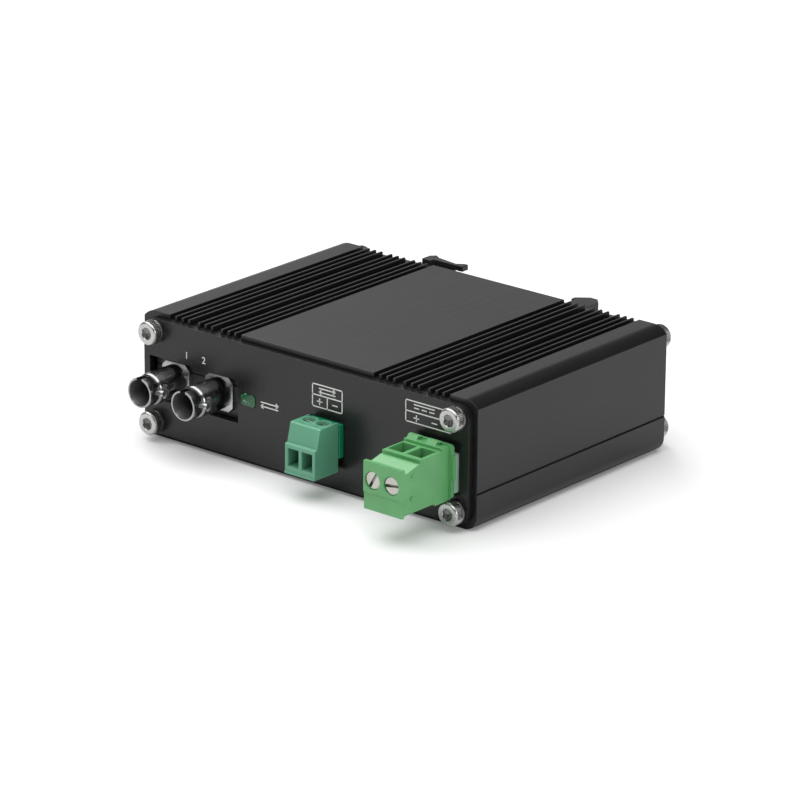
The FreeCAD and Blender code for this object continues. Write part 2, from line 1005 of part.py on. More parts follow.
def serial_pocket(x):
    """Room for one cage and its travel, with the screw's hole above and the wire entry in front."""
    gap = cage_clearance
    low = serial_cage_z() - gap
    high = serial_nut_z() + serial_cage_nut + serial_travel() + cage_end_clearance
    y = around(serial_screw_y(), serial_cage_depth + 2 * gap)
    room = box(around(x, serial_cage_width + 2 * gap), y, (low, high))
    top = above_board(serial_plug_top_rise)
    shank_hole = rod_z(serial_screw_diameter / 2 + clamp_hole_clearance, x, serial_screw_y(), (high, top))
    head_hole = rod_z(serial_head_diameter / 2 + clamp_hole_clearance, x, serial_screw_y(), (serial_head_z(), top))
    entry_low = above_board(serial_entry_rise) - serial_entry_height / 2
    entry = box(
        around(x, serial_entry_width),
        (serial_front_y(), serial_screw_y()),
        (entry_low, entry_low + serial_entry_height),
    )
    flare = box(
        around(x, serial_entry_width + 2 * serial_entry_flare),
        (serial_front_y(), serial_front_y() + serial_entry_flare),
        (entry_low - serial_entry_flare, entry_low + serial_entry_height + serial_entry_flare),
    )
    return [room, shank_hole, head_hole, entry, flare]


def serial_contact_room(x, clearance):
    """Tube round the pin, a drop behind the cage and a tab into it."""
    pocket_back = serial_screw_y() + serial_cage_depth / 2 + cage_clearance
    tube_y = (pocket_back + contact_thickness, nose_end_y(serial_cavity_depth))
    tube = contact_tube(x, serial_pin_z, serial_pin_width, tube_y, clearance)
    tab_low, tab_high = serial_tab_z()
    width = serial_cage_width - 2 * serial_cage_side - 2 * tab_clearance + 2 * clearance
    outer = serial_pin_width + 2 * (socket_clearance + contact_thickness)
    drop = box(
        around(x, width),
        (pocket_back - clearance, pocket_back + 2 * contact_thickness + clearance),
        (tab_low - clearance, serial_pin_z + outer / 2 + clearance),
    )
    tab = box(
        around(x, width),
        (serial_screw_y() - serial_cage_depth / 2, pocket_back),
        (tab_low - clearance, tab_high + clearance),
    )
    return tube, drop, tab


def serial_plug_bays():
    """Hollows at the top's rear edge, round the bosses of the two screws."""
    top = above_board(serial_plug_top_rise)
    z = (top - serial_bay_depth, top)
    bays = box(
        around(serial_x, serial_plug_width - 2 * serial_bay_side),
        (plug_back_y - serial_bay_length, plug_back_y),
        z,
    )
    bosses = [rod_z(serial_boss_radius, x, serial_screw_y(), z) for x in serial_poles]
    return cut_all(bays, bosses)


def serial_plug():
    front = serial_front_y()
    low = above_board(-serial_plug_drop)
    ledge_z = above_board(serial_plug_ledge_rise)
    top = above_board(serial_plug_top_rise)
    profile = [
        (front, low),
        (front, ledge_z - serial_plug_edge),
        (front + serial_plug_edge, ledge_z),
        (ahead(serial_plug_ledge_reach), ledge_z),
        (ahead(serial_plug_top_reach), top - serial_plug_edge),
        (ahead(serial_plug_top_reach) + serial_plug_edge, top),
        (plug_back_y, top),
        (plug_back_y, low),
    ]
    body = prism_x(profile, around(serial_x, serial_plug_width))
    nose = plug_nose(
        serial_x, serial_header_width, serial_header_height, serial_header_wall, serial_cavity_depth
    )
    tail = box(
        around(serial_x, serial_tail_width),
        (plug_back_y, plug_back_y + serial_tail_length),
        (low, low + serial_tail_height),
    )
    rim = box(
        around(serial_x, serial_plug_width),
        (front - serial_rim_reach, front + serial_plug_edge),
        (low, low + serial_rim_height),
    )
    body = union([body.cut(serial_plug_bays()), nose, tail, rim])
    for x in serial_poles:
        body = cut_all(body, serial_pocket(x) + list(serial_contact_room(x, contact_seat_clearance)))
        slit = box(
            around(x, serial_slit_length),
            around(serial_screw_y() - serial_slit_lead, serial_slit_width),
            (top - serial_slit_depth, top),
        )
        body = body.cut(slit)
    return body


def serial_plug_contacts():
    contacts = []
    for x in serial_poles:
        tube, drop, tab = serial_contact_room(x, 0)
        opening = serial_pin_width + 2 * socket_clearance
        hollow_y = (tube.BoundBox.YMin + 2 * contact_thickness, tube.BoundBox.YMax)
        hollow = box(around(x, opening), hollow_y, around(serial_pin_z, opening))
        contacts.append(union([tube, drop, tab]).cut(hollow))
    return Part.makeCompound(contacts)


def serial_clamp_screw(x):
    tip = serial_tab_z()[1] + tip_clearance
    screw = slotted_screw(
        serial_screw_diameter,
        serial_head_diameter,
        serial_head_height,
        serial_head_z() - tip,
        serial_slot_width,
        serial_slot_depth,
    )
    screw.translate(vector(x, serial_screw_y(), serial_head_z()))
    return screw


def serial_clamp_cage(x):
    low = serial_cage_z()
    high = serial_nut_z() + serial_cage_nut
    y = around(serial_screw_y(), serial_cage_depth)
    cage = box(around(x, serial_cage_width), y, (low, high))
    opening = box(
        around(x, serial_cage_width - 2 * serial_cage_side),
        y,
        (low + serial_cage_floor, serial_nut_z()),
    )
    radius = serial_screw_diameter / 2 + clamp_thread_clearance
    thread = rod_z(radius, x, serial_screw_y(), (serial_nut_z(), high))
    return cage.cut(opening).cut(thread)


# Power plug


def power_front_y():
    return ahead(power_plug_reach)


def power_screw_z():
    return above_board(power_screw_rise)


def power_head_y():
    """Underside of the clamping screws' heads."""
    return power_front_y() + power_head_recess + power_head_height


def power_travel():
    return power_screw_pitch * power_screw_turns


def power_pocket_front():
    return power_head_y() + power_shoulder


def power_cage_front():
    """Front of the cages when the clamps are open."""
    return power_pocket_front() + cage_end_clearance + power_travel()


def power_cage_length():
    return power_cage_nut + power_cage_opening + power_cage_back


def power_tab_y():
    """Fixed tab that the wire is pressed against."""
    front = power_cage_front() + power_cage_nut + power_travel() - tab_clearance
    return (front, front + power_tab_thickness)


def power_pocket(x):
    """Room for one cage and its travel, with the screw's hole in front and the wire entry above."""
    gap = cage_clearance
    back = power_cage_front() + power_cage_length() + gap
    height = power_cage_height + 2 * gap
    room = box(
        around(x, power_cage_width + 2 * gap),
        (power_pocket_front(), back),
        around(power_screw_z(), height),
    )
    radius = power_screw_diameter / 2 + clamp_hole_clearance
    shank_hole = rod_y(radius, x, (power_head_y(), power_pocket_front()), power_screw_z())
    head_radius = power_head_diameter / 2 + clamp_hole_clearance
    head_hole = rod_y(head_radius, x, (power_front_y(), power_head_y()), power_screw_z())
    entry_front = ahead(power_entry_reach)
    entry = box(
        around(x, power_entry_width),
        (entry_front, entry_front + power_entry_length),
        (power_screw_z(), above_board(power_ridge_rise)),
    )
    return [room, shank_hole, head_hole, entry]


def power_contact_room(x, clearance):
    """Tube round the pin, a strip below the cage and a tab up into it."""
    pocket_back = power_cage_front() + power_cage_length() + cage_clearance
    outer = power_pin_width + 2 * (socket_clearance + contact_thickness)
    tube_y = (pocket_back + contact_thickness, nose_end_y(power_cavity_depth))
    tube = contact_tube(x, power_pin_z, power_pin_width, tube_y, clearance)
    strip_top = power_screw_z() - power_cage_height / 2 - cage_clearance
    strip_low = strip_top - power_strip_thickness
    width = power_tab_width + 2 * clearance
    tab_front, tab_back = power_tab_y()
    drop = box(
        around(x, width),
        (pocket_back + contact_thickness - clearance, pocket_back + 3 * contact_thickness + clearance),
        (strip_low - clearance, power_pin_z + outer / 2 + clearance),
    )
    strip = box(
        around(x, width),
        (tab_front - clearance, pocket_back + 3 * contact_thickness),
        (strip_low - clearance, strip_top + clearance),
    )
    tab_top = power_screw_z() + power_cage_height / 2 - power_tab_top_gap
    tab = box(
        around(x, width),
        (tab_front - clearance, tab_back + clearance),
        (strip_low - clearance, tab_top + clearance),
    )
    return tube, drop, strip, tab


def power_plug_profile():
    front = power_front_y()
    return [
        (front, above_board(-power_plug_front_drop)),
        (front, above_board(power_plug_front_rise)),
        (front + power_plate_thickness, above_board(power_plug_front_rise)),
        (ahead(power_notch_reach), above_board(power_notch_rise)),
        (ahead(power_slant_reach), above_board(power_slant_rise)),
        (ahead(power_deck_reach), above_board(power_slant_rise)),
        (ahead(power_deck_reach), above_board(power_deck_rise)),
        (ahead(power_ridge_reach), above_board(power_deck_rise)),
        (ahead(power_ridge_reach), above_board(power_ridge_rise)),
        (plug_back_y, above_board(power_ridge_rise)),
        (plug_back_y, above_board(-power_skirt_drop)),
        (ahead(power_skirt_reach), above_board(-power_skirt_drop)),
        (ahead(power_skirt_reach), above_board(-power_underside_drop)),
        (front + power_plate_thickness, above_board(-power_underside_drop)),
        (front + power_plate_thickness, above_board(-power_plug_front_drop)),
    ]


def power_plug_flanges():
    """Wider rim next to the header, with a grip tab on both sides."""
    y = (ahead(power_flange_reach), plug_back_y)
    strip = box(
        around(power_x, power_plug_width + 2 * power_flange_side),
        y,
        (above_board(-power_flange_drop), above_board(power_flange_rise)),
    )
    strip = rounded_along(strip, vector(0, 1, 0), power_flange_corner)
    tab = box(
        around(power_x, power_plug_width + 2 * power_tab_side),
        y,
        (above_board(power_tab_low), above_board(power_tab_high)),
    )
    return [strip, tab]


def power_plug_latches():
    """Low bumps on the rear ridge."""
    bumps = []
    low = above_board(power_ridge_rise)
    high = above_board(power_latch_rise)
    front = ahead(power_latch_reach)
    for number in range(power_latch_count):
        x = power_x - power_latch_shift + (number - (power_latch_count - 1) / 2) * power_latch_pitch
        slope = [(front, low), (front + power_latch_length / 2, high), (front + power_latch_length, high)]
        slope.append((front + power_latch_length, low))
        bumps.append(prism_x(slope, around(x, power_latch_width)))
        end = x + power_latch_width / 2
        rear = (front + power_latch_length / 2, front + power_latch_length)
        bumps.append(box((end, end + power_latch_lip), rear, (high - power_latch_lip_thickness, high)))
    return bumps


def power_plug_nubs():
    side = power_x + power_plug_width / 2
    nubs = []
    for reach, rise in (power_nub_low, power_nub_high):
        x = (side, side + power_nub_height)
        y, z = ahead(reach), above_board(rise)
        lower_half = box(x, around(y, 2 * power_nub_radius), (z - power_nub_radius, z))
        nubs.append(rod_x(power_nub_radius, x, y, z).cut(lower_half))
    return nubs


def power_plug_step():
    """Lower part of the front, set back behind a small slope."""
    front = power_front_y()
    step = [
        (front, above_board(-power_plug_front_drop)),
        (front, above_board(power_step_rise)),
        (front + power_step_depth, above_board(power_step_rise - power_step_edge)),
        (front + power_step_depth, above_board(-power_plug_front_drop)),
    ]
    return prism_x(step, around(power_x, power_plug_width))


def power_plug():
    body = prism_x(power_plug_profile(), around(power_x, power_plug_width))
    nose = plug_nose(power_x, power_header_width, power_header_height, power_header_wall, power_cavity_depth)
    body = union([body, nose] + power_plug_flanges() + power_plug_latches() + power_plug_nubs())
    body = body.cut(power_plug_step())
    for x in power_poles:
        body = cut_all(body, power_pocket(x) + list(power_contact_room(x, contact_seat_clearance)))
    return body


def power_plug_contacts():
    contacts = []
    for x in power_poles:
        tube, drop, strip, tab = power_contact_room(x, 0)
        opening = power_pin_width + 2 * socket_clearance
        hollow_y = (tube.BoundBox.YMin + 2 * contact_thickness, tube.BoundBox.YMax)
        hollow = box(around(x, opening), hollow_y, around(power_pin_z, opening))
        contacts.append(union([tube, drop, strip, tab]).cut(hollow))
    return Part.makeCompound(contacts)


def power_clamp_screw(x):
    tip = power_tab_y()[0] - tip_clearance
    screw = slotted_screw(
        power_screw_diameter,
        power_head_diameter,
        power_head_height,
        tip - power_head_y(),
        power_slot_width,
        power_slot_depth,
    )
    screw.rotate(vector(0, 0, 0), vector(1, 0, 0), 90)
    screw.translate(vector(x, power_head_y(), power_screw_z()))
    return screw


def power_clamp_cage(x):
    front = power_cage_front()
    back = front + power_cage_length()
    z = around(power_screw_z(), power_cage_height)
    cage = box(around(x, power_cage_width), (front, back), z)
    opening = box(
        around(x, power_cage_width - 2 * power_cage_side),
        (front + power_cage_nut, back - power_cage_back),
        z,
    )
    radius = power_screw_diameter / 2 + clamp_thread_clearance
    thread = rod_y(radius, x, (front, front + power_cage_nut), power_screw_z())
    return cage.cut(opening).cut(thread)


# Electronics


def on_board(place, size):
    return box(around(place[0], size[0]), around(place[1], size[1]), (board_top, board_top + size[2]))


def power_module():
    body = on_board(power_module_place, power_module_size)
    return body.makeChamfer(module_edge, edges_along(body, vector(0, 0, 1)))


def inductor():
    base = on_board(inductor_place, inductor_size)
    top = board_top + inductor_size[2]
    core = rod_z(inductor_core_radius, inductor_place[0], inductor_place[1], (top, top + inductor_core_rise))
    return base.fuse(core)


def smoothing_capacitors():
    cans = []
    for x in capacitor_x:
        base = on_board((x, capacitor_y), (2 * capacitor_radius, 2 * capacitor_radius, capacitor_base_height))
        can_z = (board_top + capacitor_base_height, board_top + capacitor_height)
        cans.append(base.fuse(rod_z(capacitor_radius, x, capacitor_y, can_z)))
    return Part.makeCompound(cans)


def gull_wing_chip(place, body_size, height, leads_a_side, pitch):
    """Moulded body with a row of leads along both long sides, standing on the board."""
    x, y = place
    length, width = body_size
    thickness = chip_lead_thickness
    pieces = [box(around(x, length), around(y, width), (board_top + thickness, board_top + height))]
    for number in range(leads_a_side):
        lead_x = x + (number - (leads_a_side - 1) / 2) * pitch
        reach = width + 2 * chip_lead_reach
        pieces.append(box(around(lead_x, chip_lead_width), around(y, reach), (board_top, board_top + thickness)))
    return union(pieces)


def logic_chips():
    chips = []
    for place in chip_places:
        chips.append(gull_wing_chip(place, chip_body_size, chip_height, chip_lead_count, chip_lead_pitch))
    return Part.makeCompound(chips)


def isolators():
    chips = []
    for place in isolator_places:
        chip = gull_wing_chip(
            place, isolator_body_size, isolator_height, isolator_lead_count, isolator_lead_pitch
        )
        chips.append(chip)
    return Part.makeCompound(chips)


def surge_diodes():
    return Part.makeCompound([on_board((diode_x, y), diode_size) for y in diode_y])


def resettable_fuse():
    low = board_top + fuse_standoff
    disc = rod_y(fuse_radius, fuse_x, around(fuse_y, fuse_thickness), low + fuse_radius)
    leads = []
    for x in around(fuse_x, fuse_lead_spacing):
        leads.append(rod_z(fuse_lead_radius, x, fuse_y, (board_top - lead_length, low + fuse_radius)))
    return disc.fuse(leads).removeSplitter()


# Rail clip


def clip_screw_head(x, gap):
    """Countersunk head, wide end outward."""
    low_radius = screw_diameter / 2 + gap
    high_radius = clip_screw_head_diameter / 2 + gap
    face = clip_face_y - clip_screw_recess
    start = vector(x, face - clip_screw_head_height, clip_z_middle)
    return Part.makeCone(low_radius, high_radius, clip_screw_head_height, start, vector(0, 1, 0))


def rail_clip_screws():
    screws = []
    face = clip_face_y - clip_screw_recess
    for x in clip_screw_places:
        shank = rod_y(screw_diameter / 2, x, (face - clip_screw_length, face - clip_screw_head_height), clip_z_middle)
        socket = hexagon_y(clip_screw_socket_width, x, (face - clip_screw_socket_depth, face), clip_z_middle)
        screws.append(shank.fuse(clip_screw_head(x, 0)).cut(socket))
    return Part.makeCompound(screws)


def fixed_hook():
    """Lip that one edge of the rail hooks under."""
    lip_x = rail_edge_x - hook_lip_reach
    outer_y = rear_y + hook_back_reach
    points = [
        (clip_right_x, rear_y),
        (clip_right_x, rear_y + hook_side_reach),
        (clip_right_x - hook_back_out, outer_y),
        (clip_right_x - hook_back_in, outer_y),
        (lip_x, rail_lip_y + hook_tip_rise),
        (lip_x, rail_lip_y),
        (rail_edge_x, rail_lip_y),
        (rail_edge_x, rear_y),
    ]
    return prism_z(points, hook_z)


def guide_slot():
    """Limits in Y of the room for the latch plate."""
    return (clip_face_y, clip_face_y + latch_plate_thickness + 2 * guide_clearance)


def clip_guides():
    """Two rails with inward lips that hold the latch plate."""
    inner_y, lip_y = guide_slot()
    outer_y = lip_y + guide_lip_thickness
    x = (guide_end_x, guide_inner_x)
    guides = []
    for edge, inward in ((clip_low, 1), (clip_high, -1)):
        side = box(x, (inner_y, outer_y), (edge, edge + inward * guide_width))
        lip = box(x, (lip_y, outer_y), (edge, edge + inward * (guide_width + guide_lip)))
        guides += [side, lip]
    return guides


def spring_post():
    x = (guide_end_x, guide_end_x + spring_post_length)
    y = (clip_face_y, spring_axis_y() + spring_radius)
    return box(x, y, around(clip_z_middle, spring_post_height))


def rail_clip_base():
    plate = box((guide_end_x, clip_right_x), (rear_y, clip_face_y), (clip_low, clip_high))
    base = union([plate, fixed_hook(), spring_post()] + clip_guides())
    for x in clip_screw_places:
        hole = rod_y(screw_diameter / 2 + screw_hole_clearance, x, (rear_y, clip_face_y), clip_z_middle)
        top = rod_y(
            clip_screw_head_diameter / 2 + thread_clearance,
            x,
            (clip_face_y - clip_screw_recess, clip_face_y),
            clip_z_middle,
        )
        base = cut_all(base, [hole, clip_screw_head(x, thread_clearance), top])
    return base


def latch_wall(front):
    """Block and bar that stand up behind the rail's edge."""
    bar_back = rear_y + latch_bar_reach
    bar_front = bar_back - latch_bar_thickness
    outline = [
        (-latch_block_left, front),
        (-latch_block_left, rear_y + latch_block_reach - latch_block_bevel),
        (-latch_block_left + latch_block_bevel, rear_y + latch_block_reach),
        (-latch_block_right, bar_back + latch_bar_rise),
        (-latch_bar_end, bar_back),
        (-latch_bar_end, bar_front),
        (-latch_block_right, bar_front),
        (-latch_block_right, front),
    ]
    return prism_z(outline, hook_z)


def latch_tips():
    """Two short fingers at the end of the bar, one at each edge."""
    bar_back = rear_y + latch_bar_reach
    outline = [
        (-latch_bar_end, bar_back - latch_bar_thickness),
        (-latch_bar_end, bar_back),
        (-latch_tip_end - latch_tip_length, rear_y + latch_tip_reach),
        (-latch_tip_end, rear_y + latch_tip_reach),
        (-latch_tip_end, bar_back - latch_bar_thickness),
    ]
    low, high = hook_z
    return [prism_z(outline, (low, low + latch_tip_height)), prism_z(outline, (high - latch_tip_height, high))]


def rail_clip_latch():
    """Sprung slider: plate between the guides, lip bar over the rail edge and a pull tab."""
    inner_y, lip_y = guide_slot()
    plate_y = (inner_y + guide_clearance, lip_y - guide_clearance)
    over_y = lip_y + guide_lip_thickness + guide_clearance
    plate_z = (clip_low + guide_width + guide_clearance, clip_high - guide_width - guide_clearance)
    core_gap = guide_width + guide_lip + guide_clearance
    core_z = (clip_low + core_gap, clip_high - core_gap)
    left = guide_end_x - spring_slot_clearance
    plate = box((left, -rail_edge_x), plate_y, plate_z)
    core = box((-latch_block_left, -rail_edge_x), (plate_y[0], over_y), core_z)
    lip_x = -rail_edge_x + latch_lip_reach
    web = box((-latch_block_right, lip_x), (over_y, rear_y + latch_bar_reach), core_z)
    lip = box((-rail_edge_x, lip_x), (rail_lip_y, over_y), core_z)
    tab = box(
        (left - pull_tab_length, left),
        (plate_y[0], plate_y[0] + pull_tab_thickness),
        around(clip_z_middle, pull_tab_height),
    )
    slot_x = (left - pull_tab_length / 2 - pull_slot_length / 2, left - pull_tab_length / 2 + pull_slot_length / 2)
    pull_slot = box(slot_x, (plate_y[0], plate_y[0] + pull_tab_thickness), around(clip_z_middle, pull_slot_height))
    spring_end = guide_end_x + spring_post_length + spring_length + 2 * spring_gap
    room_radius = spring_radius + spring_slot_clearance
    room_y = (plate_y[0], spring_axis_y() + room_radius)
    spring_room = box((left, spring_end), room_y, around(clip_z_middle, 2 * room_radius))
    latch = union([plate, core, latch_wall(over_y), web, lip, tab] + latch_tips())
    return cut_all(latch, [spring_room, pull_slot])


def latch_spring():
    """Coil between the fixed post and the end of the latch's slot."""
    start_x = guide_end_x + spring_post_length + spring_gap + spring_wire_radius
    length = spring_length - 2 * spring_wire_radius
    coil_radius = spring_radius - spring_wire_radius
    helix = Part.makeHelix(length / spring_turns, length, coil_radius)
    section = Part.Wire(Part.makeCircle(spring_wire_radius, vector(coil_radius, 0, 0), vector(0, 1, 0)))
    coil = Part.Wire(helix).makePipeShell([section], True, True)
    coil.rotate(vector(0, 0, 0), vector(0, 1, 0), 90)
    coil.translate(vector(start_x, spring_axis_y(), clip_z_middle))
    return coil


def spring_axis_y():
    return guide_slot()[0] + spring_radius + guide_clearance


def numbered(name, maker, places):
    return {f"{name}_{number + 1}": maker(x) for number, x in enumerate(places)}


def parts():
    whole = {
        "upper_shell": upper_shell(),
        "lower_shell": lower_shell(),
        "front_panel": front_panel(),
        "rear_panel": rear_panel(),
        "front_panel_screws": front_panel_screws(),
        "front_lock_washers": front_lock_washers(),
        "rear_panel_screws": rear_panel_screws(),
        "rear_lock_washers": rear_lock_washers(),
        "circuit_board": circuit_board(),
        "transceiver_housing": transceiver_housing(),
        "transmit_port": transmit_port(),
        "receive_port": receive_port(),
        "alignment_sleeves": alignment_sleeves(),
        "transceiver_pins": transceiver_pins(),
        "light_pipe": light_pipe(),
        "status_led": status_led(),
        "serial_header": serial_header(),
        "serial_header_pins": serial_header_pins(),
        "serial_plug": serial_plug(),
        "serial_plug_contacts": serial_plug_contacts(),
        "power_header": power_header(),
        "power_header_pins": power_header_pins(),
        "power_plug": power_plug(),
        "power_plug_contacts": power_plug_contacts(),
        "power_module": power_module(),
        "inductor": inductor(),
        "smoothing_capacitors": smoothing_capacitors(),
        "logic_chips": logic_chips(),
        "isolators": isolators(),
        "surge_diodes": surge_diodes(),
        "resettable_fuse": resettable_fuse(),
        "rail_clip_base": rail_clip_base(),
        "rail_clip_latch": rail_clip_latch(),
        "latch_spring": latch_spring(),
        "rail_clip_screws": rail_clip_screws(),
    }
    whole.update(numbered("serial_clamp_screw", serial_clamp_screw, serial_poles))
    whole.update(numbered("serial_clamp_cage", serial_clamp_cage, serial_poles))
    whole.update(numbered("power_clamp_screw", power_clamp_screw, power_poles))
    whole.update(numbered("power_clamp_cage", power_clamp_cage, power_poles))
    return whole


os.makedirs("parts", exist_ok=True)
for node, shape in parts().items():
    shape.exportStep(f"parts/{node}.step")
    solids = shape.Solids
    box_of = shape.BoundBox
    size = f"{box_of.XLength:.2f} x {box_of.YLength:.2f} x {box_of.ZLength:.2f}"
    print(f"{node}: {len(solids)} solids, valid {shape.isValid()}, {shape.Volume:.1f} mm3, {size}")
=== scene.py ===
import math

import bmesh
import bpy
from bpy.props import FloatProperty, FloatVectorProperty, IntProperty, PointerProperty
from mathutils import Matrix, Vector


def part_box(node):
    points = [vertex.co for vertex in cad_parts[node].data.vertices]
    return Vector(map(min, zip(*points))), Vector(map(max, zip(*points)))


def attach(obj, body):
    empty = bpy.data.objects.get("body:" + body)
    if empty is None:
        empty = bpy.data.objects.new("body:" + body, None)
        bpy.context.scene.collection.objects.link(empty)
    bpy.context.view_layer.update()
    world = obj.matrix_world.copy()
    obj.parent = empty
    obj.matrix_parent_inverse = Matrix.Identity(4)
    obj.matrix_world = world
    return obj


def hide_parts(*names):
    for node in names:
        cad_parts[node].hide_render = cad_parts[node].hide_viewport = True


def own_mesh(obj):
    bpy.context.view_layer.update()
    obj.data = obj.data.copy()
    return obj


bl_info = {
    "name": "Fibre media converter",
    "version": (1, 0, 0),
    "blender": (4, 5, 0),
    "location": "View3D > Sidebar > Converter",
    "description": "Dresses a fibre media converter in a ribbed aluminium case",
    "category": "Add Mesh",
}

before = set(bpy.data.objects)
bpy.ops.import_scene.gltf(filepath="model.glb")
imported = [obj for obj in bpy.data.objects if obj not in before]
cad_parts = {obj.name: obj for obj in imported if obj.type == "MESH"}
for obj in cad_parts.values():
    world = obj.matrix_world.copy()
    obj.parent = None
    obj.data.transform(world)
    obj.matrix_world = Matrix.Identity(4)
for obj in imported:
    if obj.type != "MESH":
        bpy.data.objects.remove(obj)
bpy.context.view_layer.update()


def mm(value):
    """Millimetres as metres."""
    return value / 1000.0


def linear(text):
    """An sRGB hex colour as linear red, green, blue and alpha."""
    parts = [int(text[i : i + 2], 16) / 255 for i in (1, 3, 5)]
    return tuple(c / 12.92 if c <= 0.04045 else ((c + 0.055) / 1.055) ** 2.4 for c in parts) + (1.0,)


def colour_property(name, description, text):
    """Setting for a colour, given in sRGB."""
    return FloatVectorProperty(
        name=name, description=description, subtype="COLOR", size=4, min=0.0, max=1.0, default=linear(text)
    )


def length(name, description, millimetres):
    """Setting for a size."""
    return FloatProperty(name=name, description=description, default=mm(millimetres), unit="LENGTH")


class ConverterSizes(bpy.types.PropertyGroup):
    """Sizes of the details that finish the pieces."""

    case_edge: length("Case edge", "Break on the case's sharp edges", 0.08)
    plastic_edge: length("Plastic edge", "Rounding of moulded edges", 0.14)
    thin_edge: length("Thin wall edge", "Rounding of the data plug's thin walls", 0.08)
    metal_edge: length("Metal edge", "Break on small metal edges", 0.06)
    head_width: length("Screw head width", "Diameter of the corner screws' heads", 5.4)
    head_height: length("Screw head height", "Height of the corner screws' heads", 2.2)
    head_edge: length("Screw head edge", "Rounding round the corner screws' faces", 0.42)
    socket_width: length("Socket width", "Six-sided hole across its flats", 2.5)
    socket_depth: length("Socket depth", "Depth of the six-sided hole", 1.6)
    knurl_depth: length("Knurl depth", "Depth of the grooves round the screw heads", 0.1)
    knurl_teeth: IntProperty(name="Knurl teeth", description="Ridges round a screw head", default=44, min=12)
    thread_width: length("Thread width", "Outer diameter of the corner screws' thread", 3.0)
    thread_depth: length("Thread depth", "Depth of the corner screws' thread", 0.25)
    thread_pitch: length("Thread pitch", "Distance between two turns of the thread", 0.5)
    flange_width: length("Port flange width", "Width of the fibre ports' square flanges", 8.0)
    flange_thickness: length("Port flange thickness", "Thickness of the fibre ports' flanges", 1.0)
    key_width: length("Port key width", "Width of the slot in the fibre ports' tubes", 1.5)
    key_length: length("Port key length", "Length of the slot in the fibre ports' tubes", 3.0)
    print_thickness: length("Print thickness", "How far the white print stands proud", 0.03)
    print_line: length("Print line", "Width of the printed lines", 0.26)
    figure_height: length("Figure height", "Height of the printed figures", 1.55)


class ConverterColours(bpy.types.PropertyGroup):
    """Colours of the visible materials."""

    case_black: colour_property("Case", "Dyed oxide of the extruded case", "#171718")
    panel_black: colour_property("Panels", "Dyed oxide of the end panels", "#171718")
    print_white: colour_property("Print", "Ink of the frames and figures", "#e6e6e2")
    stainless: colour_property("Stainless steel", "Screws and washers", "#c2c2c0")
    nickel: colour_property("Nickel", "Plating of the fibre ports", "#b8b8b8")
    transceiver_grey: colour_property("Transceiver", "Moulded housing behind the ports", "#2b2c2e")
    serial_green: colour_property("Serial plug", "Moulded plug for the data wires", "#5f9f80")
    serial_header_green: colour_property("Serial header", "Moulded socket for the data plug", "#0c7f5a")
    power_green: colour_property("Power plug", "Moulded plug for the supply wires", "#5ea466")
    # The supply header's pale tone is partly its own colour and partly a painted highlight on its side face.
    power_header_green: colour_property("Power header", "Moulded socket for the supply plug", "#8fae9c")
    light_green: colour_property("Light pipe", "Tint of the light pipe", "#1f8f57")
    board_green: colour_property("Circuit board", "Solder mask", "#0f5a2c")
    clip_black: colour_property("Rail clip", "Moulded nylon of the clip", "#18181a")


def colours():
    """Colours set in the panel."""
    return bpy.context.scene.converter_colours


def sizes():
    """Sizes set in the panel."""
    return bpy.context.scene.converter_sizes


# Materials


def add_node(tree, kind, values=None, links=None, **settings):
    """Adds one shader node, sets it up and links its sockets."""
    made = tree.nodes.new(kind)
    for name, value in settings.items():
        setattr(made, name, value)
    for socket, value in (values or {}).items():
        made.inputs[socket].default_value = value
    for socket, source in (links or {}).items():
        tree.links.new(source, made.inputs[socket])
    return made


def start_material(name, shader_values):
    """Empty material with its shader, and the object's own coordinates for patterns."""
    material = bpy.data.materials.new(name)
    material.use_nodes = True
    tree = material.node_tree
    tree.nodes.clear()
    shader = add_node(tree, "ShaderNodeBsdfPrincipled", shader_values)
    add_node(tree, "ShaderNodeOutputMaterial", links={"Surface": shader.outputs["BSDF"]})
    place = add_node(tree, "ShaderNodeTexCoord").outputs["Object"]
    return material, tree, shader, place


def pattern_scale(size_in_mm):
    """Texture scale for a pattern whose cells are that many millimetres across."""
    return 1000.0 / size_in_mm


def shade(colour, factor):
    """Lighter or darker tone of a colour."""
    return tuple(min(1.0, c * factor) for c in colour[:3]) + (1.0,)


def drawn_out(tree, place, scale):
    """Coordinates for a pattern that is longer along one axis."""
    return add_node(tree, "ShaderNodeMapping", {"Scale": scale}, {"Vector": place}).outputs["Vector"]


def noise(tree, place, size_in_mm, detail, roughness=0.5):
    """Uneven pattern with cells of a real size."""
    values = {"Scale": pattern_scale(size_in_mm), "Detail": detail, "Roughness": roughness}
    return add_node(tree, "ShaderNodeTexNoise", values, {"Vector": place}).outputs["Fac"]


def tones(tree, pattern, low, high):
    """Colour that follows a pattern. Each end is a place on the pattern and a colour."""
    ramp = add_node(tree, "ShaderNodeValToRGB", links={"Fac": pattern})
    for element, (position, colour) in zip(ramp.color_ramp.elements, (low, high)):
        element.position = position
        element.color = colour
    return ramp.outputs["Color"]


def sheen(tree, pattern, span, roughness):
    """Roughness that follows a span of a pattern between two values."""
    values = dict(zip(("From Min", "From Max", "To Min", "To Max"), span + roughness))
    return add_node(tree, "ShaderNodeMapRange", values, {"Value": pattern}).outputs["Result"]


def relief(tree, pattern, strength, depth_in_mm):
    """Fine height that follows a pattern."""
    values = {"Strength": strength, "Distance": mm(depth_in_mm)}
    return add_node(tree, "ShaderNodeBump", values, {"Height": pattern}).outputs["Normal"]


def link_surface(tree, shader, colour, roughness=None, normal=None):
    """Gives the patterns to the shader."""
    for socket, source in (("Base Color", colour), ("Roughness", roughness), ("Normal", normal)):
        if source is not None:
            tree.links.new(source, shader.inputs[socket])


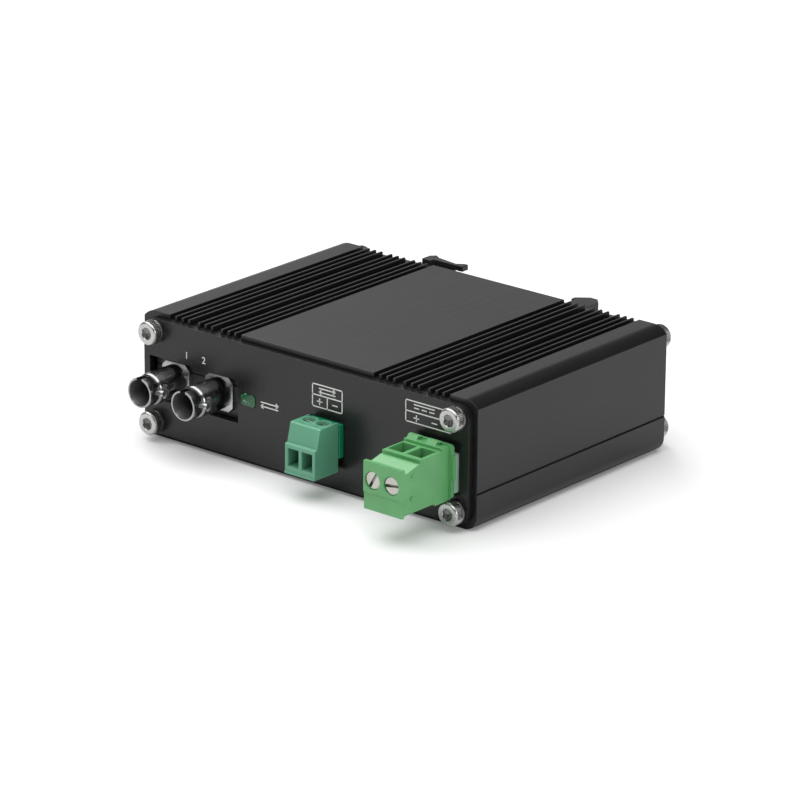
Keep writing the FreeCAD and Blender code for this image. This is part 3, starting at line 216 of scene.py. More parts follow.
def anodised_aluminium(name, colour, lines_along_y):
    """Black anodised aluminium. The dye sits in a clear oxide layer, so the eye sees a deep
    black with a satin sheen. An extruded case shows faint lines along its length, and sheet
    that was blasted shows fine grit instead."""
    material, tree, shader, place = start_material(name, {"IOR": 1.5, "Specular IOR Level": 0.42})
    if lines_along_y:
        fine = noise(tree, drawn_out(tree, place, (1.0, 0.015, 1.0)), 0.5, 3.0, 0.55)
    else:
        fine = noise(tree, place, 0.3, 3.0, 0.55)
    cloudy = noise(tree, place, 24.0, 2.0)
    dye = tones(tree, cloudy, (0.35, shade(colour, 0.88)), (0.7, shade(colour, 1.12)))
    satin = sheen(tree, fine, (0.3, 0.7), (0.27, 0.34))
    link_surface(tree, shader, dye, satin, relief(tree, fine, 0.12, 0.006))
    return material


def screen_ink(name, colour):
    """Screen-printed white epoxy ink: matt, slightly uneven where the mesh laid it down."""
    material, tree, shader, place = start_material(name, {"Roughness": 0.6, "IOR": 1.5})
    weave = noise(tree, place, 0.25, 2.0)
    link_surface(tree, shader, tones(tree, weave, (0.3, shade(colour, 0.82)), (0.6, colour)))
    return material


def bare_metal(name, colour, roughness, grain_mm, stretch=(1.0, 1.0, 1.0), relief_mm=0.006):
    """Turned or plated metal: mirror-like where it is smooth, with fine marks from the tool
    that break up the reflections and a slight change of tone from handling."""
    material, tree, shader, place = start_material(name, {"Metallic": 1.0})
    marks = noise(tree, drawn_out(tree, place, stretch), grain_mm, 4.0, 0.6)
    tone = tones(tree, marks, (0.25, shade(colour, 0.86)), (0.75, shade(colour, 1.06)))
    polish = sheen(tree, marks, (0.25, 0.75), (roughness * 0.75, roughness * 1.3))
    link_surface(tree, shader, tone, polish, relief(tree, marks, 0.3, relief_mm))
    return material


def moulded_plastic(name, colour, roughness, grain_mm, glow=0.0):
    """Injection-moulded plastic: even colour right through, a soft sheen from the spark-eroded
    mould and a little light that soaks in at thin walls."""
    soaking = {"Subsurface Weight": glow, "Subsurface Scale": mm(0.6), "Subsurface Radius": (0.6, 1.0, 0.7)}
    material, tree, shader, place = start_material(name, {"IOR": 1.53, **soaking})
    flow = noise(tree, place, 6.0, 2.0)
    tone = tones(tree, flow, (0.3, shade(colour, 0.93)), (0.7, shade(colour, 1.05)))
    grain = noise(tree, place, grain_mm, 3.0)
    gloss = sheen(tree, grain, (0.3, 0.7), (roughness - 0.05, roughness + 0.06))
    link_surface(tree, shader, tone, gloss, relief(tree, grain, 0.35, 0.01))
    return material


def tinted_plastic(name, colour):
    """Tinted clear plastic, moulded and polished, in a deep green. A few bright specks are painted
    highlights in its colour, and they give off a faint painted glow."""
    # The emission strength sets a painted glow; no lamp sits behind the plastic.
    values = {"IOR": 1.58, "Roughness": 0.18, "Transmission Weight": 0.1, "Emission Strength": 0.3}
    material, tree, shader, place = start_material(name, values)
    cells = {"Scale": pattern_scale(0.95), "Randomness": 0.8}
    painted_glints = add_node(tree, "ShaderNodeTexVoronoi", cells, {"Vector": place}).outputs["Distance"]
    # Light-green specks in the colour are painted highlights; the same specks drive the painted glow below.
    link_surface(tree, shader, tones(tree, painted_glints, (0.12, linear("#6fc795")), (0.3, shade(colour, 0.3))))
    light = tones(tree, painted_glints, (0.1, linear("#6fd69a")), (0.22, linear("#03140b")))
    tree.links.new(light, shader.inputs["Emission Color"])
    return material


def solder_mask(name, colour):
    """Glass laminate under green solder mask: glossy lacquer with copper tracks showing as
    lighter lines about half a millimetre wide."""
    material, tree, shader, place = start_material(name, {"IOR": 1.5, "Roughness": 0.25})
    values = {
        "Scale": pattern_scale(8.0),
        "Mortar Size": 0.03,
        "Color1": colour,
        "Color2": shade(colour, 0.92),
        "Mortar": shade(colour, 1.7),
    }
    tracks = add_node(tree, "ShaderNodeTexBrick", values, {"Vector": place})
    link_surface(tree, shader, tracks.outputs["Color"], normal=relief(tree, tracks.outputs["Fac"], 0.3, 0.03))
    return material


# Meshes


def finish_mesh(mesh, smooth_below=40.0):
    """Smooth shading with edges kept sharp above an angle."""
    mesh.shade_smooth()
    mesh.set_sharp_from_angle(angle=math.radians(smooth_below))


def add_piece(name, bm, body, materials, nodes=()):
    """Makes a piece of the object from a mesh in the making, and lets it ride on a body."""
    mesh = bpy.data.meshes.new(name)
    bm.to_mesh(mesh)
    bm.free()
    for material in materials:
        mesh.materials.append(material)
    finish_mesh(mesh)
    piece = bpy.data.objects.new(name, mesh)
    bpy.context.scene.collection.objects.link(piece)
    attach(piece, body)
    if nodes:
        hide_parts(*nodes)
    return piece


def corners(node):
    """Lowest and highest corners of a solid of the frame."""
    return tuple(Vector(corner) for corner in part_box(node))


def centre_of(node):
    """Middle of a solid of the frame."""
    low, high = corners(node)
    return (low + high) / 2


def bevel(bm, edges, offset, segments, clamp=False):
    """Breaks or rounds some edges."""
    bmesh.ops.bevel(
        bm,
        geom=edges,
        offset=offset,
        segments=segments,
        profile=0.5,
        affect="EDGES",
        clamp_overlap=clamp,
        material=-1,
    )


def softened(node, body, material, edge, segments=2, sharp_above=28.0, turn=0.0, axis="Y"):
    """Copy of a solid of the frame with its triangles joined and its sharp edges broken. A
    round piece can be turned by some degrees about its own axis."""
    bm = bmesh.new()
    bm.from_mesh(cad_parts[node].data)
    bmesh.ops.remove_doubles(bm, verts=bm.verts, dist=mm(0.002))
    spin = Matrix.Rotation(math.radians(turn), 3, axis)
    bmesh.ops.rotate(bm, verts=bm.verts, cent=centre_of(node), matrix=spin)
    bmesh.ops.dissolve_limit(bm, angle_limit=math.radians(0.5), verts=bm.verts, edges=bm.edges)
    for face in bm.faces:
        face.material_index = 0
    limit = math.radians(sharp_above)
    sharp = [e for e in bm.edges if len(e.link_faces) == 2 and e.calc_face_angle() > limit]
    bevel(bm, sharp, edge, segments, clamp=True)
    piece = add_piece(f"{node}_dressed", bm, body, [material], [node])
    weighted = piece.modifiers.new("Flat faces stay flat", "WEIGHTED_NORMAL")
    weighted.keep_sharp = True
    return piece


def soften_all(body, *rows):
    """Softens solids that ride on one body. A row is a node, its slot, its material and the
    width of its broken edges in millimetres. The slot is not used."""
    for node, slot, material, edge in rows:
        softened(node, body, material, mm(edge))


def paint(node, material):
    """Gives a solid of the frame a better material."""
    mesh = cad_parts[node].data
    for index in range(len(mesh.materials)):
        mesh.materials[index] = material
    if not mesh.materials:
        mesh.materials.append(material)


def turned(bm, profile, centre, steps):
    """Spins a closed outline of radius and depth round an axis along Y."""
    verts = [bm.verts.new((centre.x + radius, depth, centre.z)) for radius, depth in profile]
    edges = [bm.edges.new((a, b)) for a, b in zip(verts, verts[1:] + verts[:1])]
    bmesh.ops.spin(
        bm,
        geom=verts + edges,
        cent=(centre.x, 0, centre.z),
        axis=(0, 1, 0),
        angle=2 * math.pi,
        steps=steps,
        use_merge=True,
    )


def cone(bm, place, turn, radii, depth, segments):
    """Cone or rod, laid along another axis than Z by a turn."""
    matrix = Matrix.Translation(place) @ turn
    return bmesh.ops.create_cone(
        bm, cap_ends=True, segments=segments, radius1=radii[0], radius2=radii[1], depth=depth, matrix=matrix
    )["verts"]


def edges_between(bm, verts):
    """Edges with both ends among some corners."""
    return [e for e in bm.edges if e.verts[0] in verts and e.verts[1] in verts]


def edges_along_y(edges):
    """Those of the edges that run front to back."""
    return [e for e in edges if abs(e.verts[0].co.y - e.verts[1].co.y) > mm(0.5)]


def block(bm, low, high):
    """Block between two corners."""
    middle = (low + high) / 2
    size = high - low
    grow = Matrix.Translation(middle) @ Matrix.Diagonal((size.x, size.y, size.z, 1.0))
    return bmesh.ops.create_cube(bm, size=1.0, matrix=grow)["verts"]


def carve(piece, bm_cutter):
    """Cuts the cutter's shape out of a piece for good."""
    mesh = bpy.data.meshes.new("cutter")
    bm_cutter.to_mesh(mesh)
    bm_cutter.free()
    cutter = bpy.data.objects.new("cutter", mesh)
    bpy.context.scene.collection.objects.link(cutter)
    cut = piece.modifiers.new("Cut", "BOOLEAN")
    cut.operation = "DIFFERENCE"
    cut.solver = "EXACT"
    cut.object = cutter
    graph = bpy.context.evaluated_depsgraph_get()
    result = bpy.data.meshes.new_from_object(piece.evaluated_get(graph))
    piece.modifiers.clear()
    old = piece.data
    result.name = old.name
    piece.data = result
    bpy.data.meshes.remove(old)
    bpy.data.objects.remove(cutter)
    bpy.data.meshes.remove(mesh)
    finish_mesh(piece.data)


# Pieces

# Lays a rod along the case's depth
TURN_TO_Y = Matrix.Rotation(math.radians(90), 4, "X")

# Steps of the turned shapes
HEAD_STEPS = 72
HEAD_EDGE_STEPS = 6
THREAD_STEPS = 20
PORT_STEPS = 96
HOLE_STEPS = 48
LUG_STEPS = 32

# Depth of the cone at a screw's hole, how far it stays inside the hole's corners at the face,
# and the length over which the knurl starts and ends, in millimetres
LEAD_IN_DEPTH = 0.4
LEAD_IN_INSET = 0.04
KNURL_LEAD = 0.1


class CONVERTER_OT_case(bpy.types.Operator):
    """Dress the extruded shells and the end panels"""

    bl_idname = "converter.case"
    bl_label = "Case"

    def execute(self, context):
        extruded = anodised_aluminium("Anodised aluminium, extruded", tuple(colours().case_black), True)
        sheet = anodised_aluminium("Anodised aluminium, blasted sheet", tuple(colours().panel_black), False)
        for node, material in (
            ("upper_shell", extruded),
            ("lower_shell", extruded),
            ("front_panel", sheet),
            ("rear_panel", sheet),
        ):
            softened(node, "case", material, sizes().case_edge)
        return {"FINISHED"}


def screw_centres(node):
    """X and Z of the four corner screws in a node."""
    low, high = corners(node)
    radius = sizes().head_width / 2
    return [(x, z) for x in (low.x + radius, high.x - radius) for z in (low.z + radius, high.z - radius)]


def screw_head(bm, x, z, seat, facing):
    """Turned head with a rounded edge. Depths run outward from the seat."""
    radius, height, edge = sizes().head_width / 2, sizes().head_height, sizes().head_edge
    inner = radius - sizes().knurl_depth
    outline = [(0.0, 0.0), (inner, 0.0), (inner, height - edge)]
    for step in range(1, HEAD_EDGE_STEPS + 1):
        angle = math.radians(90 * step / HEAD_EDGE_STEPS)
        outline.append((inner - edge * (1 - math.cos(angle)), height - edge * (1 - math.sin(angle))))
    outline.append((0.0, height))
    turned(bm, [(r, seat + facing * d) for r, d in outline], Vector((x, 0, z)), HEAD_STEPS)
    bmesh.ops.remove_doubles(bm, verts=bm.verts, dist=mm(0.001))


def socket_cutter(bm, x, z, face):
    """Six-sided hole, whose cutter stands out of the face as far as it goes in."""
    corner = sizes().socket_width / math.sqrt(3)
    cone(bm, (x, face, z), TURN_TO_Y, (corner, corner), 2 * sizes().socket_depth, 6)


def lead_in_cutter(bm, x, z, face, facing):
    """Shallow cone that leads a key into the hole."""
    corner = sizes().socket_width / math.sqrt(3)
    depth = mm(LEAD_IN_DEPTH)
    turn = Matrix.Rotation(math.radians(-90 * facing), 4, "X")
    radii = (corner - depth / 2 - mm(LEAD_IN_INSET), corner + depth / 2)
    cone(bm, (x, face, z), turn, radii, depth, HOLE_STEPS)


def knurled_band(bm, x, z, seat, facing):
    """Band of fine ridges round a head, below its rounded edge. It starts and ends narrower."""
    size = sizes()
    radius, lead = size.head_width / 2, mm(KNURL_LEAD)
    narrow = 1 - size.knurl_depth / radius
    ring = bmesh.ops.create_circle(bm, segments=2 * size.knurl_teeth, radius=narrow * radius)["verts"]
    bmesh.ops.scale(bm, verts=ring[::2], vec=(narrow, narrow, 1.0))
    made = list(ring)
    edges = edges_between(bm, ring)
    for rise, width in ((lead, 1 / narrow), (size.head_height - size.head_edge - lead, 1.0), (lead, narrow)):
        band = bmesh.ops.extrude_edge_only(bm, edges=edges)["geom"]
        top = [g for g in band if isinstance(g, bmesh.types.BMVert)]
        edges = [g for g in band if isinstance(g, bmesh.types.BMEdge)]
        bmesh.ops.translate(bm, verts=top, vec=(0, 0, rise))
        bmesh.ops.scale(bm, verts=top, vec=(width, width, 1.0))
        made += top
    lay = Matrix.Translation((x, seat, z)) @ Matrix.Rotation(math.radians(-90 * facing), 4, "X")
    bmesh.ops.transform(bm, matrix=lay, verts=made)


def thread(bm, x, z, seat, facing, length):
    """Threaded shank: a ridge wound along the axis."""
    size = sizes()
    outer = size.thread_width / 2
    inner = outer - size.thread_depth
    pitch = size.thread_pitch
    turns = int(length / pitch) - 1
    ridge = [(inner, 0.0), (outer, pitch / 2), (inner, pitch)]
    verts = [bm.verts.new((x + r, seat - facing * d, z)) for r, d in ridge]
    edges = [bm.edges.new(pair) for pair in zip(verts, verts[1:])]
    bmesh.ops.spin(
        bm,
        geom=verts + edges,
        cent=(x, 0, z),
        axis=(0, 1, 0),
        dvec=(0, -facing * pitch / THREAD_STEPS, 0),
        angle=2 * math.pi * turns,
        steps=THREAD_STEPS * turns,
        use_merge=False,
    )


class CONVERTER_OT_fasteners(bpy.types.Operator):
    """Make the knurled corner screws and finish their spring washers"""

    bl_idname = "converter.fasteners"
    bl_label = "Corner screws and washers"

    def execute(self, context):
        stainless = tuple(colours().stainless)
        steel = bare_metal("Stainless steel, turned and knurled", stainless, 0.28, 0.5, relief_mm=0.003)
        # The socket's steel is a slightly darker copy of the head's: painted shade in the six-sided hole.
        broached_and_shaded = shade(stainless, 0.9)
        hole = bare_metal("Stainless steel, broached socket", broached_and_shaded, 0.22, 0.6, relief_mm=0.002)
        # The washers take a much darker copy of the steel: painted shade under the screw heads.
        spring = bare_metal("Stainless spring steel, rolled", shade(stainless, 0.55), 0.35, 0.4)
        height = sizes().head_height
        for node, washers, facing in (
            ("front_panel_screws", "front_lock_washers", -1),
            ("rear_panel_screws", "rear_lock_washers", 1),
        ):
            low, high = corners(node)
            face = low.y if facing < 0 else high.y
            seat = face - facing * height
            heads, sockets, cones, bands = (bmesh.new() for _ in range(4))
            for x, z in screw_centres(node):
                screw_head(heads, x, z, seat, facing)
                socket_cutter(sockets, x, z, face)
                lead_in_cutter(cones, x, z, face, facing)
                knurled_band(bands, x, z, seat, facing)
                thread(bands, x, z, seat, facing, high.y - low.y - height)
            bmesh.ops.recalc_face_normals(heads, faces=heads.faces)
            piece = add_piece(f"{node}_heads", heads, "case", [steel, hole], [node])
            for cutter in (sockets, cones):
                for cut_face in cutter.faces:
                    cut_face.material_index = 1
                carve(piece, cutter)
            finish_mesh(piece.data, 24.0)
            bmesh.ops.recalc_face_normals(bands, faces=bands.faces)
            knurl = add_piece(f"{node}_knurl", bands, "case", [steel])
            finish_mesh(knurl.data, 20.0)
            softened(washers, "case", spring, sizes().metal_edge)
        return {"FINISHED"}


# Radius and depth from the mouth of a fibre port's tube and barrel, in millimetres
PORT_OUTLINE = (
    (2.95, 0.12),
    (2.98, 0.03),
    (3.06, 0.0),
    (3.27, 0.0),
    (3.37, 0.04),
    (3.4, 0.15),
    (3.4, 2.62),
    (3.36, 2.7),
    (3.2, 2.72),
    (3.2, 2.96),
    (3.37, 3.0),
    (3.42, 3.04),
    (3.58, 3.46),
    (3.6, 3.54),
    (3.6, 11.7),
    (1.7, 11.7),
    (1.64, 11.6),
    (1.64, 7.7),
    (1.75, 7.6),
    (2.85, 7.6),
    (2.95, 7.5),
)

# Depth of the mouth's plated edge, then the key slot's start before the mouth and its limits
# above the middle, in millimetres
PORT_LIP = 0.2
KEY_LEAD = 0.5
KEY_RISE = (1.0, 4.0)

# Cut corners, front edge and hole of a fibre port's flange, in millimetres
FLANGE_CORNER = 1.2
FLANGE_EDGE = 0.15
FLANGE_HOLE_RADIUS = 1.64
FLANGE_HOLE_DEPTH = 4.0

# Round lugs and the ears behind them: distances from the port's axis and from the mouth of
# its tube, in millimetres
LUG_RADIUS = 0.65
LUG_LENGTH = 1.3
LUG_MIDDLE = 3.8
LUG_DEPTH = 3.1
LUG_EDGE = 0.14
EAR_REACH = (3.2, 4.2)
EAR_DEPTH = (4.1, 4.9)
EAR_RISE = 1.6
EAR_EDGE = 0.9


def bayonet_port(node, plating, inside):
    """Turned barrel and tube of a fibre port, with the key slot milled into the tube."""
    tip = corners(node)[0].y
    centre = centre_of(node)
    bm = bmesh.new()
    turned(bm, [(mm(r), tip + mm(d)) for r, d in PORT_OUTLINE], centre, PORT_STEPS)
    bmesh.ops.recalc_face_normals(bm, faces=bm.faces)
    bore, mouth = mm(PORT_OUTLINE[0][0] + 0.01), tip + mm(PORT_LIP)
    # Faces deep inside the bore take the second material, a darker copy of the plating: painted shade.
    for face in bm.faces:
        middle = face.calc_center_median()
        reach = math.hypot(middle.x - centre.x, middle.z - centre.z)
        face.material_index = 1 if reach < bore and middle.y > mouth else 0
    piece = add_piece(f"{node}_turned", bm, "case", [plating, inside], [node])
    half = sizes().key_width / 2
    low = Vector((centre.x - half, tip - mm(KEY_LEAD), centre.z + mm(KEY_RISE[0])))
    high = Vector((centre.x + half, tip + sizes().key_length, centre.z + mm(KEY_RISE[1])))
    slot = bmesh.new()
    block(slot, low, high)
    carve(piece, slot)
    return centre, tip


def port_flange(node, centre, back, material):
    """Square flange with cut corners and a hole for the alignment sleeve."""
    half = sizes().flange_width / 2
    front = back - sizes().flange_thickness
    bm = bmesh.new()
    low = Vector((centre.x - half, front, centre.z - half))
    high = Vector((centre.x + half, back, centre.z + half))
    block(bm, low, high)
    bevel(bm, edges_along_y(bm.edges), mm(FLANGE_CORNER), 1)
    bevel(bm, edges_between(bm, {v for v in bm.verts if v.co.y < front + mm(0.01)}), mm(FLANGE_EDGE), 2)
    piece = add_piece(f"{node}_flange", bm, "case", [material])
    hole = bmesh.new()
    radius = mm(FLANGE_HOLE_RADIUS)
    cone(hole, (centre.x, back, centre.z), TURN_TO_Y, (radius, radius), mm(FLANGE_HOLE_DEPTH), HOLE_STEPS)
    carve(piece, hole)


def port_lugs(node, centre, tip, material):
    """Round lugs that the bayonet plug locks behind, and the rounded ears behind them."""
    bm = bmesh.new()
    for side in (-1, 1):
        place = (centre.x + side * mm(LUG_MIDDLE), tip + mm(LUG_DEPTH), centre.z)
        turn = Matrix.Rotation(math.radians(90 * side), 4, "Y")
        made = cone(bm, place, turn, (mm(LUG_RADIUS), mm(LUG_RADIUS)), mm(LUG_LENGTH), LUG_STEPS)
        outer = {v for v in made if abs(v.co.x - centre.x) > mm(LUG_MIDDLE)}
        bevel(bm, edges_between(bm, outer), mm(LUG_EDGE), 3)
        ends = sorted(centre.x + side * mm(reach) for reach in EAR_REACH)
        low = Vector((ends[0], tip + mm(EAR_DEPTH[0]), centre.z - mm(EAR_RISE)))
        high = Vector((ends[1], tip + mm(EAR_DEPTH[1]), centre.z + mm(EAR_RISE)))
        outer = {v for v in block(bm, low, high) if abs(v.co.x - centre.x) > mm(LUG_MIDDLE)}
        bevel(bm, edges_along_y(edges_between(bm, outer)), mm(EAR_EDGE), 6)
    add_piece(f"{node}_lugs", bm, "case", [material])


class CONVERTER_OT_fibre_ports(bpy.types.Operator):
    """Make the two bayonet fibre ports and the module behind them"""

    bl_idname = "converter.fibre_ports"
    bl_label = "Fibre ports"

    def execute(self, context):
        nickel = tuple(colours().nickel)
        plating = bare_metal("Nickel plate on turned brass", shade(nickel, 0.8), 0.2, 0.8, relief_mm=0.002)
        # The bore's plating is a darker copy of the barrel's: painted shade inside the bore.
        inside = bare_metal("Nickel plate inside a bore", shade(nickel, 0.6), 0.5, 0.4)
        stamped = bare_metal("Nickel silver, stamped", nickel, 0.3, 1.5, relief_mm=0.003)
        bronze = bare_metal("Phosphor bronze, rolled", linear("#5c5346"), 0.4, 0.4)
        for node in ("transmit_port", "receive_port"):
            centre, tip = bayonet_port(node, plating, inside)
            port_flange(node, centre, corners(node)[1].y, stamped)
            port_lugs(node, centre, tip, stamped)
        grey = tuple(colours().transceiver_grey)
        moulded = moulded_plastic("Polysulphone, moulded dark grey", grey, 0.42, 0.4)
        soften_all("case", ("alignment_sleeves", "sleeve_bronze", bronze, 0.05))
        softened("transceiver_housing", "case", moulded, sizes().plastic_edge)
        paint("transceiver_pins", bare_metal("Tinned copper wire", linear("#c8c5ba"), 0.3, 0.4))
        return {"FINISHED"}


class CONVERTER_OT_status_light(bpy.types.Operator):
    """Finish the light pipe and the light under it"""

    bl_idname = "converter.status_light"
    bl_label = "Status light"

    def execute(self, context):
        # Both the pipe and the light's lens carry painted highlight specks and a painted glow.
        pipe = tinted_plastic("Polycarbonate, moulded and tinted", tuple(colours().light_green))
        soften_all("case", ("light_pipe", "light_pipe_clear", pipe, 0.1))
        paint("status_led", tinted_plastic("Epoxy lens, cast", linear("#2ea866")))
        return {"FINISHED"}


def dress_connector(side, plug_colour, header_colour, edge, turns, axis):
    """Plug, header, pins, contacts and clamps of one connector. The screws' slots stand at
    the given angles, as a screwdriver left them."""
    plug_body = f"{side}_plug_unit"
    plug = moulded_plastic(f"Polyamide, moulded {side} green", tuple(plug_colour), 0.36, 0.35, glow=0.12)
    header = tuple(header_colour)
    socket = moulded_plastic(f"Polyester, moulded {side} header", header, 0.45, 0.35, glow=0.05)
    grey, drawn = linear("#bdbcb6"), (1.0, 1.0, 0.3)
    zinc = bare_metal(f"Zinc-plated steel, {side} clamps", grey, 0.22, 0.7, drawn, 0.003)
    tin = bare_metal(f"Tin-plated copper alloy, {side} contacts", linear("#b9b39c"), 0.3, 0.35)
    softened(f"{side}_plug", plug_body, plug, edge)
    softened(f"{side}_header", "case", socket, sizes().plastic_edge)
    soften_all("case", (f"{side}_header_pins", "tinned_pins", tin, 0.08))
    soften_all(plug_body, (f"{side}_plug_contacts", "tinned_pins", tin, 0.05))
    for number, turn in zip((1, 2), turns):
        node, body = f"{side}_clamp_screw_{number}", f"{side}_screw_{number}"
        softened(node, body, zinc, mm(0.07), turn=turn, axis=axis)
        soften_all(f"{side}_cage_{number}", (f"{side}_clamp_cage_{number}", "clamp_steel", zinc, 0.06))


class CONVERTER_OT_serial_connector(bpy.types.Operator):
    """Dress the data plug and its header"""

    bl_idname = "converter.serial_connector"
    bl_label = "Serial connector"

    def execute(self, context):
        green, header = colours().serial_green, colours().serial_header_green
        dress_connector("serial", green, header, sizes().thin_edge, (8, -12), "Z")
        return {"FINISHED"}


class CONVERTER_OT_power_connector(bpy.types.Operator):
    """Dress the supply plug and its header"""

    bl_idname = "converter.power_connector"
    bl_label = "Power connector"

    def execute(self, context):
        green, header = colours().power_green, colours().power_header_green
        dress_connector("power", green, header, sizes().plastic_edge, (-60, -8), "Y")
        return {"FINISHED"}


# Print on the front panel, in millimetres: limits in X and in Z, or a middle
DATA_FRAME = ((2.85, 11.41), (18.2, 23.5))
DATA_ROWS, DATA_COLUMNS = 21.0, 7.13
DATA_SIGNS = ((5.0, 19.6), (9.3, 19.6))
DATA_ARROWS = ((7.1, 22.6, 1), (7.1, 21.75, -1))
DATA_ARROW_LENGTH = 4.6
SUPPLY_FRAME = ((28.65, 41.2), (20.9, 25.9))
SUPPLY_ROWS = 23.4
SUPPLY_SIGNS = ((31.7, 22.1), (36.6, 22.1))
DIRECT_LINE = ((31.0, 36.6), (24.95, 25.2))
DIRECT_DASHES = (31.7, 33.8, 35.9)
DIRECT_DASH_LENGTH, DIRECT_DASH_Z = 1.4, (24.2, 24.45)
LIGHT_ARROWS = ((-9.2, 15.65, 1), (-9.2, 14.75, -1))
LIGHT_ARROW_LENGTH = 5.0
ARROW_STROKE, ARROW_SLIDE, ARROW_ANGLE = 0.9, 0.4, 35
SIGN_WIDTH = 1.5
PRINT_ROOT = 0.005  # how far the ink reaches into the panel's face
FIGURES = (("1", -33.2, 21.2), ("2", -28.2, 21.2))
FIGURE_SHARE = 0.7  # a figure's height as a share of its type size
FIGURE_BOLD = 0.02  # how much its strokes grow to each side


def panel_face():
    """Y of the front panel's printed face."""
    return corners("front_panel")[0].y


def around(middle, width):
    """Limits about a middle."""
    return (middle - width / 2, middle + width / 2)


def line_at(middle):
    """Limits of a printed line, in millimetres."""
    return around(middle, sizes().print_line * 1000)


def printed_bar(bm, x, z):
    """Thin slab of ink between two limits in X and Z, in millimetres."""
    face = panel_face()
    low = Vector((mm(min(x)), face - sizes().print_thickness, mm(min(z))))
    high = Vector((mm(max(x)), face + mm(PRINT_ROOT), mm(max(z))))
    return block(bm, low, high)


def printed_frame(bm, x, z):
    """Rectangle of four lines."""
    line = sizes().print_line * 1000
    for bar in ((z[0], z[0] + line), (z[1] - line, z[1])):
        printed_bar(bm, x, bar)
    for bar in ((x[0], x[0] + line), (x[1] - line, x[1])):
        printed_bar(bm, bar, z)


def printed_signs(bm, plus, minus):
    """Plus and minus sign, each about a middle."""
    printed_bar(bm, around(plus[0], SIGN_WIDTH), line_at(plus[1]))
    printed_bar(bm, line_at(plus[0]), around(plus[1], SIGN_WIDTH))
    printed_bar(bm, around(minus[0], SIGN_WIDTH), line_at(minus[1]))


def printed_arrow(bm, x, z, direction, length):
    """Shaft and a head of two slanted strokes."""
    printed_bar(bm, around(x, length), line_at(z))
    tip = x + direction * length / 2
    pivot = Vector((mm(tip), panel_face(), mm(z)))
    slide = Matrix.Translation((-mm(ARROW_SLIDE) * direction, 0, 0))
    for side in (-1, 1):
        made = printed_bar(bm, around(tip, ARROW_STROKE), line_at(z))
        turn = Matrix.Rotation(math.radians(ARROW_ANGLE * side), 4, "Y")
        lay = Matrix.Translation(pivot) @ turn @ slide @ Matrix.Translation(-pivot)
        bmesh.ops.transform(bm, matrix=lay, verts=made)


def printed_figure(text, x, z):
    """Mesh of a printed number, centred on a point of the panel in millimetres."""
    curve = bpy.data.curves.new(f"figure {text}", "FONT")
    curve.body = text
    curve.size = sizes().figure_height / FIGURE_SHARE
    curve.align_x = "CENTER"
    curve.align_y = "CENTER"
    curve.extrude = sizes().print_thickness / 2
    curve.offset = mm(FIGURE_BOLD)
    holder = bpy.data.objects.new("figure", curve)
    bpy.context.scene.collection.objects.link(holder)
    graph = bpy.context.evaluated_depsgraph_get()
    mesh = bpy.data.meshes.new_from_object(holder.evaluated_get(graph))
    bpy.data.objects.remove(holder)
    bpy.data.curves.remove(curve)
    place = Matrix.Translation((mm(x), panel_face() - sizes().print_thickness / 2, mm(z)))
    mesh.transform(place @ Matrix.Rotation(math.radians(90), 4, "X"))
    return mesh


class CONVERTER_OT_panel_print(bpy.types.Operator):
    """Print the frames, signs and numbers on the front panel"""

    bl_idname = "converter.panel_print"
    bl_label = "Panel print"

    def execute(self, context):
        ink = screen_ink("Epoxy ink, screen-printed white", tuple(colours().print_white))
        bm = bmesh.new()
        printed_frame(bm, *DATA_FRAME)
        printed_bar(bm, DATA_FRAME[0], line_at(DATA_ROWS))
        printed_bar(bm, line_at(DATA_COLUMNS), (DATA_FRAME[1][0], DATA_ROWS))
        printed_signs(bm, *DATA_SIGNS)
        printed_frame(bm, *SUPPLY_FRAME)
        printed_bar(bm, SUPPLY_FRAME[0], line_at(SUPPLY_ROWS))
        printed_signs(bm, *SUPPLY_SIGNS)
        printed_bar(bm, *DIRECT_LINE)
        for middle in DIRECT_DASHES:
            printed_bar(bm, around(middle, DIRECT_DASH_LENGTH), DIRECT_DASH_Z)
        for arrows, length in ((DATA_ARROWS, DATA_ARROW_LENGTH), (LIGHT_ARROWS, LIGHT_ARROW_LENGTH)):
            for x, z, direction in arrows:
                printed_arrow(bm, x, z, direction, length)
        for text, x, z in FIGURES:
            mesh = printed_figure(text, x, z)
            bm.from_mesh(mesh)
            bpy.data.meshes.remove(mesh)
        add_piece("panel_print", bm, "case", [ink])
        return {"FINISHED"}


class CONVERTER_OT_electronics(bpy.types.Operator):
    """Finish the circuit board and the parts on it"""

    bl_idname = "converter.electronics"
    bl_label = "Electronics"

    def execute(self, context):
        mask = solder_mask("Glass laminate under solder mask", tuple(colours().board_green))
        epoxy = moulded_plastic("Epoxy, transfer-moulded black", linear("#161617"), 0.5, 0.3)
        potting = moulded_plastic("Potting case, moulded black", linear("#1c1c1e"), 0.4, 0.4)
        ferrite = moulded_plastic("Ferrite, pressed and sintered", linear("#2b2a29"), 0.6, 0.25)
        dipped = moulded_plastic("Epoxy coating, dipped yellow", linear("#d19a1c"), 0.3, 0.8)
        can = bare_metal("Aluminium can, drawn", linear("#c4c6c9"), 0.3, 0.5)
        soften_all(
            "case",
            ("circuit_board", "board_laminate", mask, 0.05),
            ("power_module", "module_black", potting, 0.2),
            ("inductor", "ferrite_grey", ferrite, 0.15),
            ("smoothing_capacitors", "capacitor_can", can, 0.2),
            ("surge_diodes", "chip_black", epoxy, 0.12),
            ("resettable_fuse", "fuse_yellow", dipped, 0.4),
            ("logic_chips", "chip_black", epoxy, 0.05),
            ("isolators", "chip_black", epoxy, 0.05),
        )
        return {"FINISHED"}


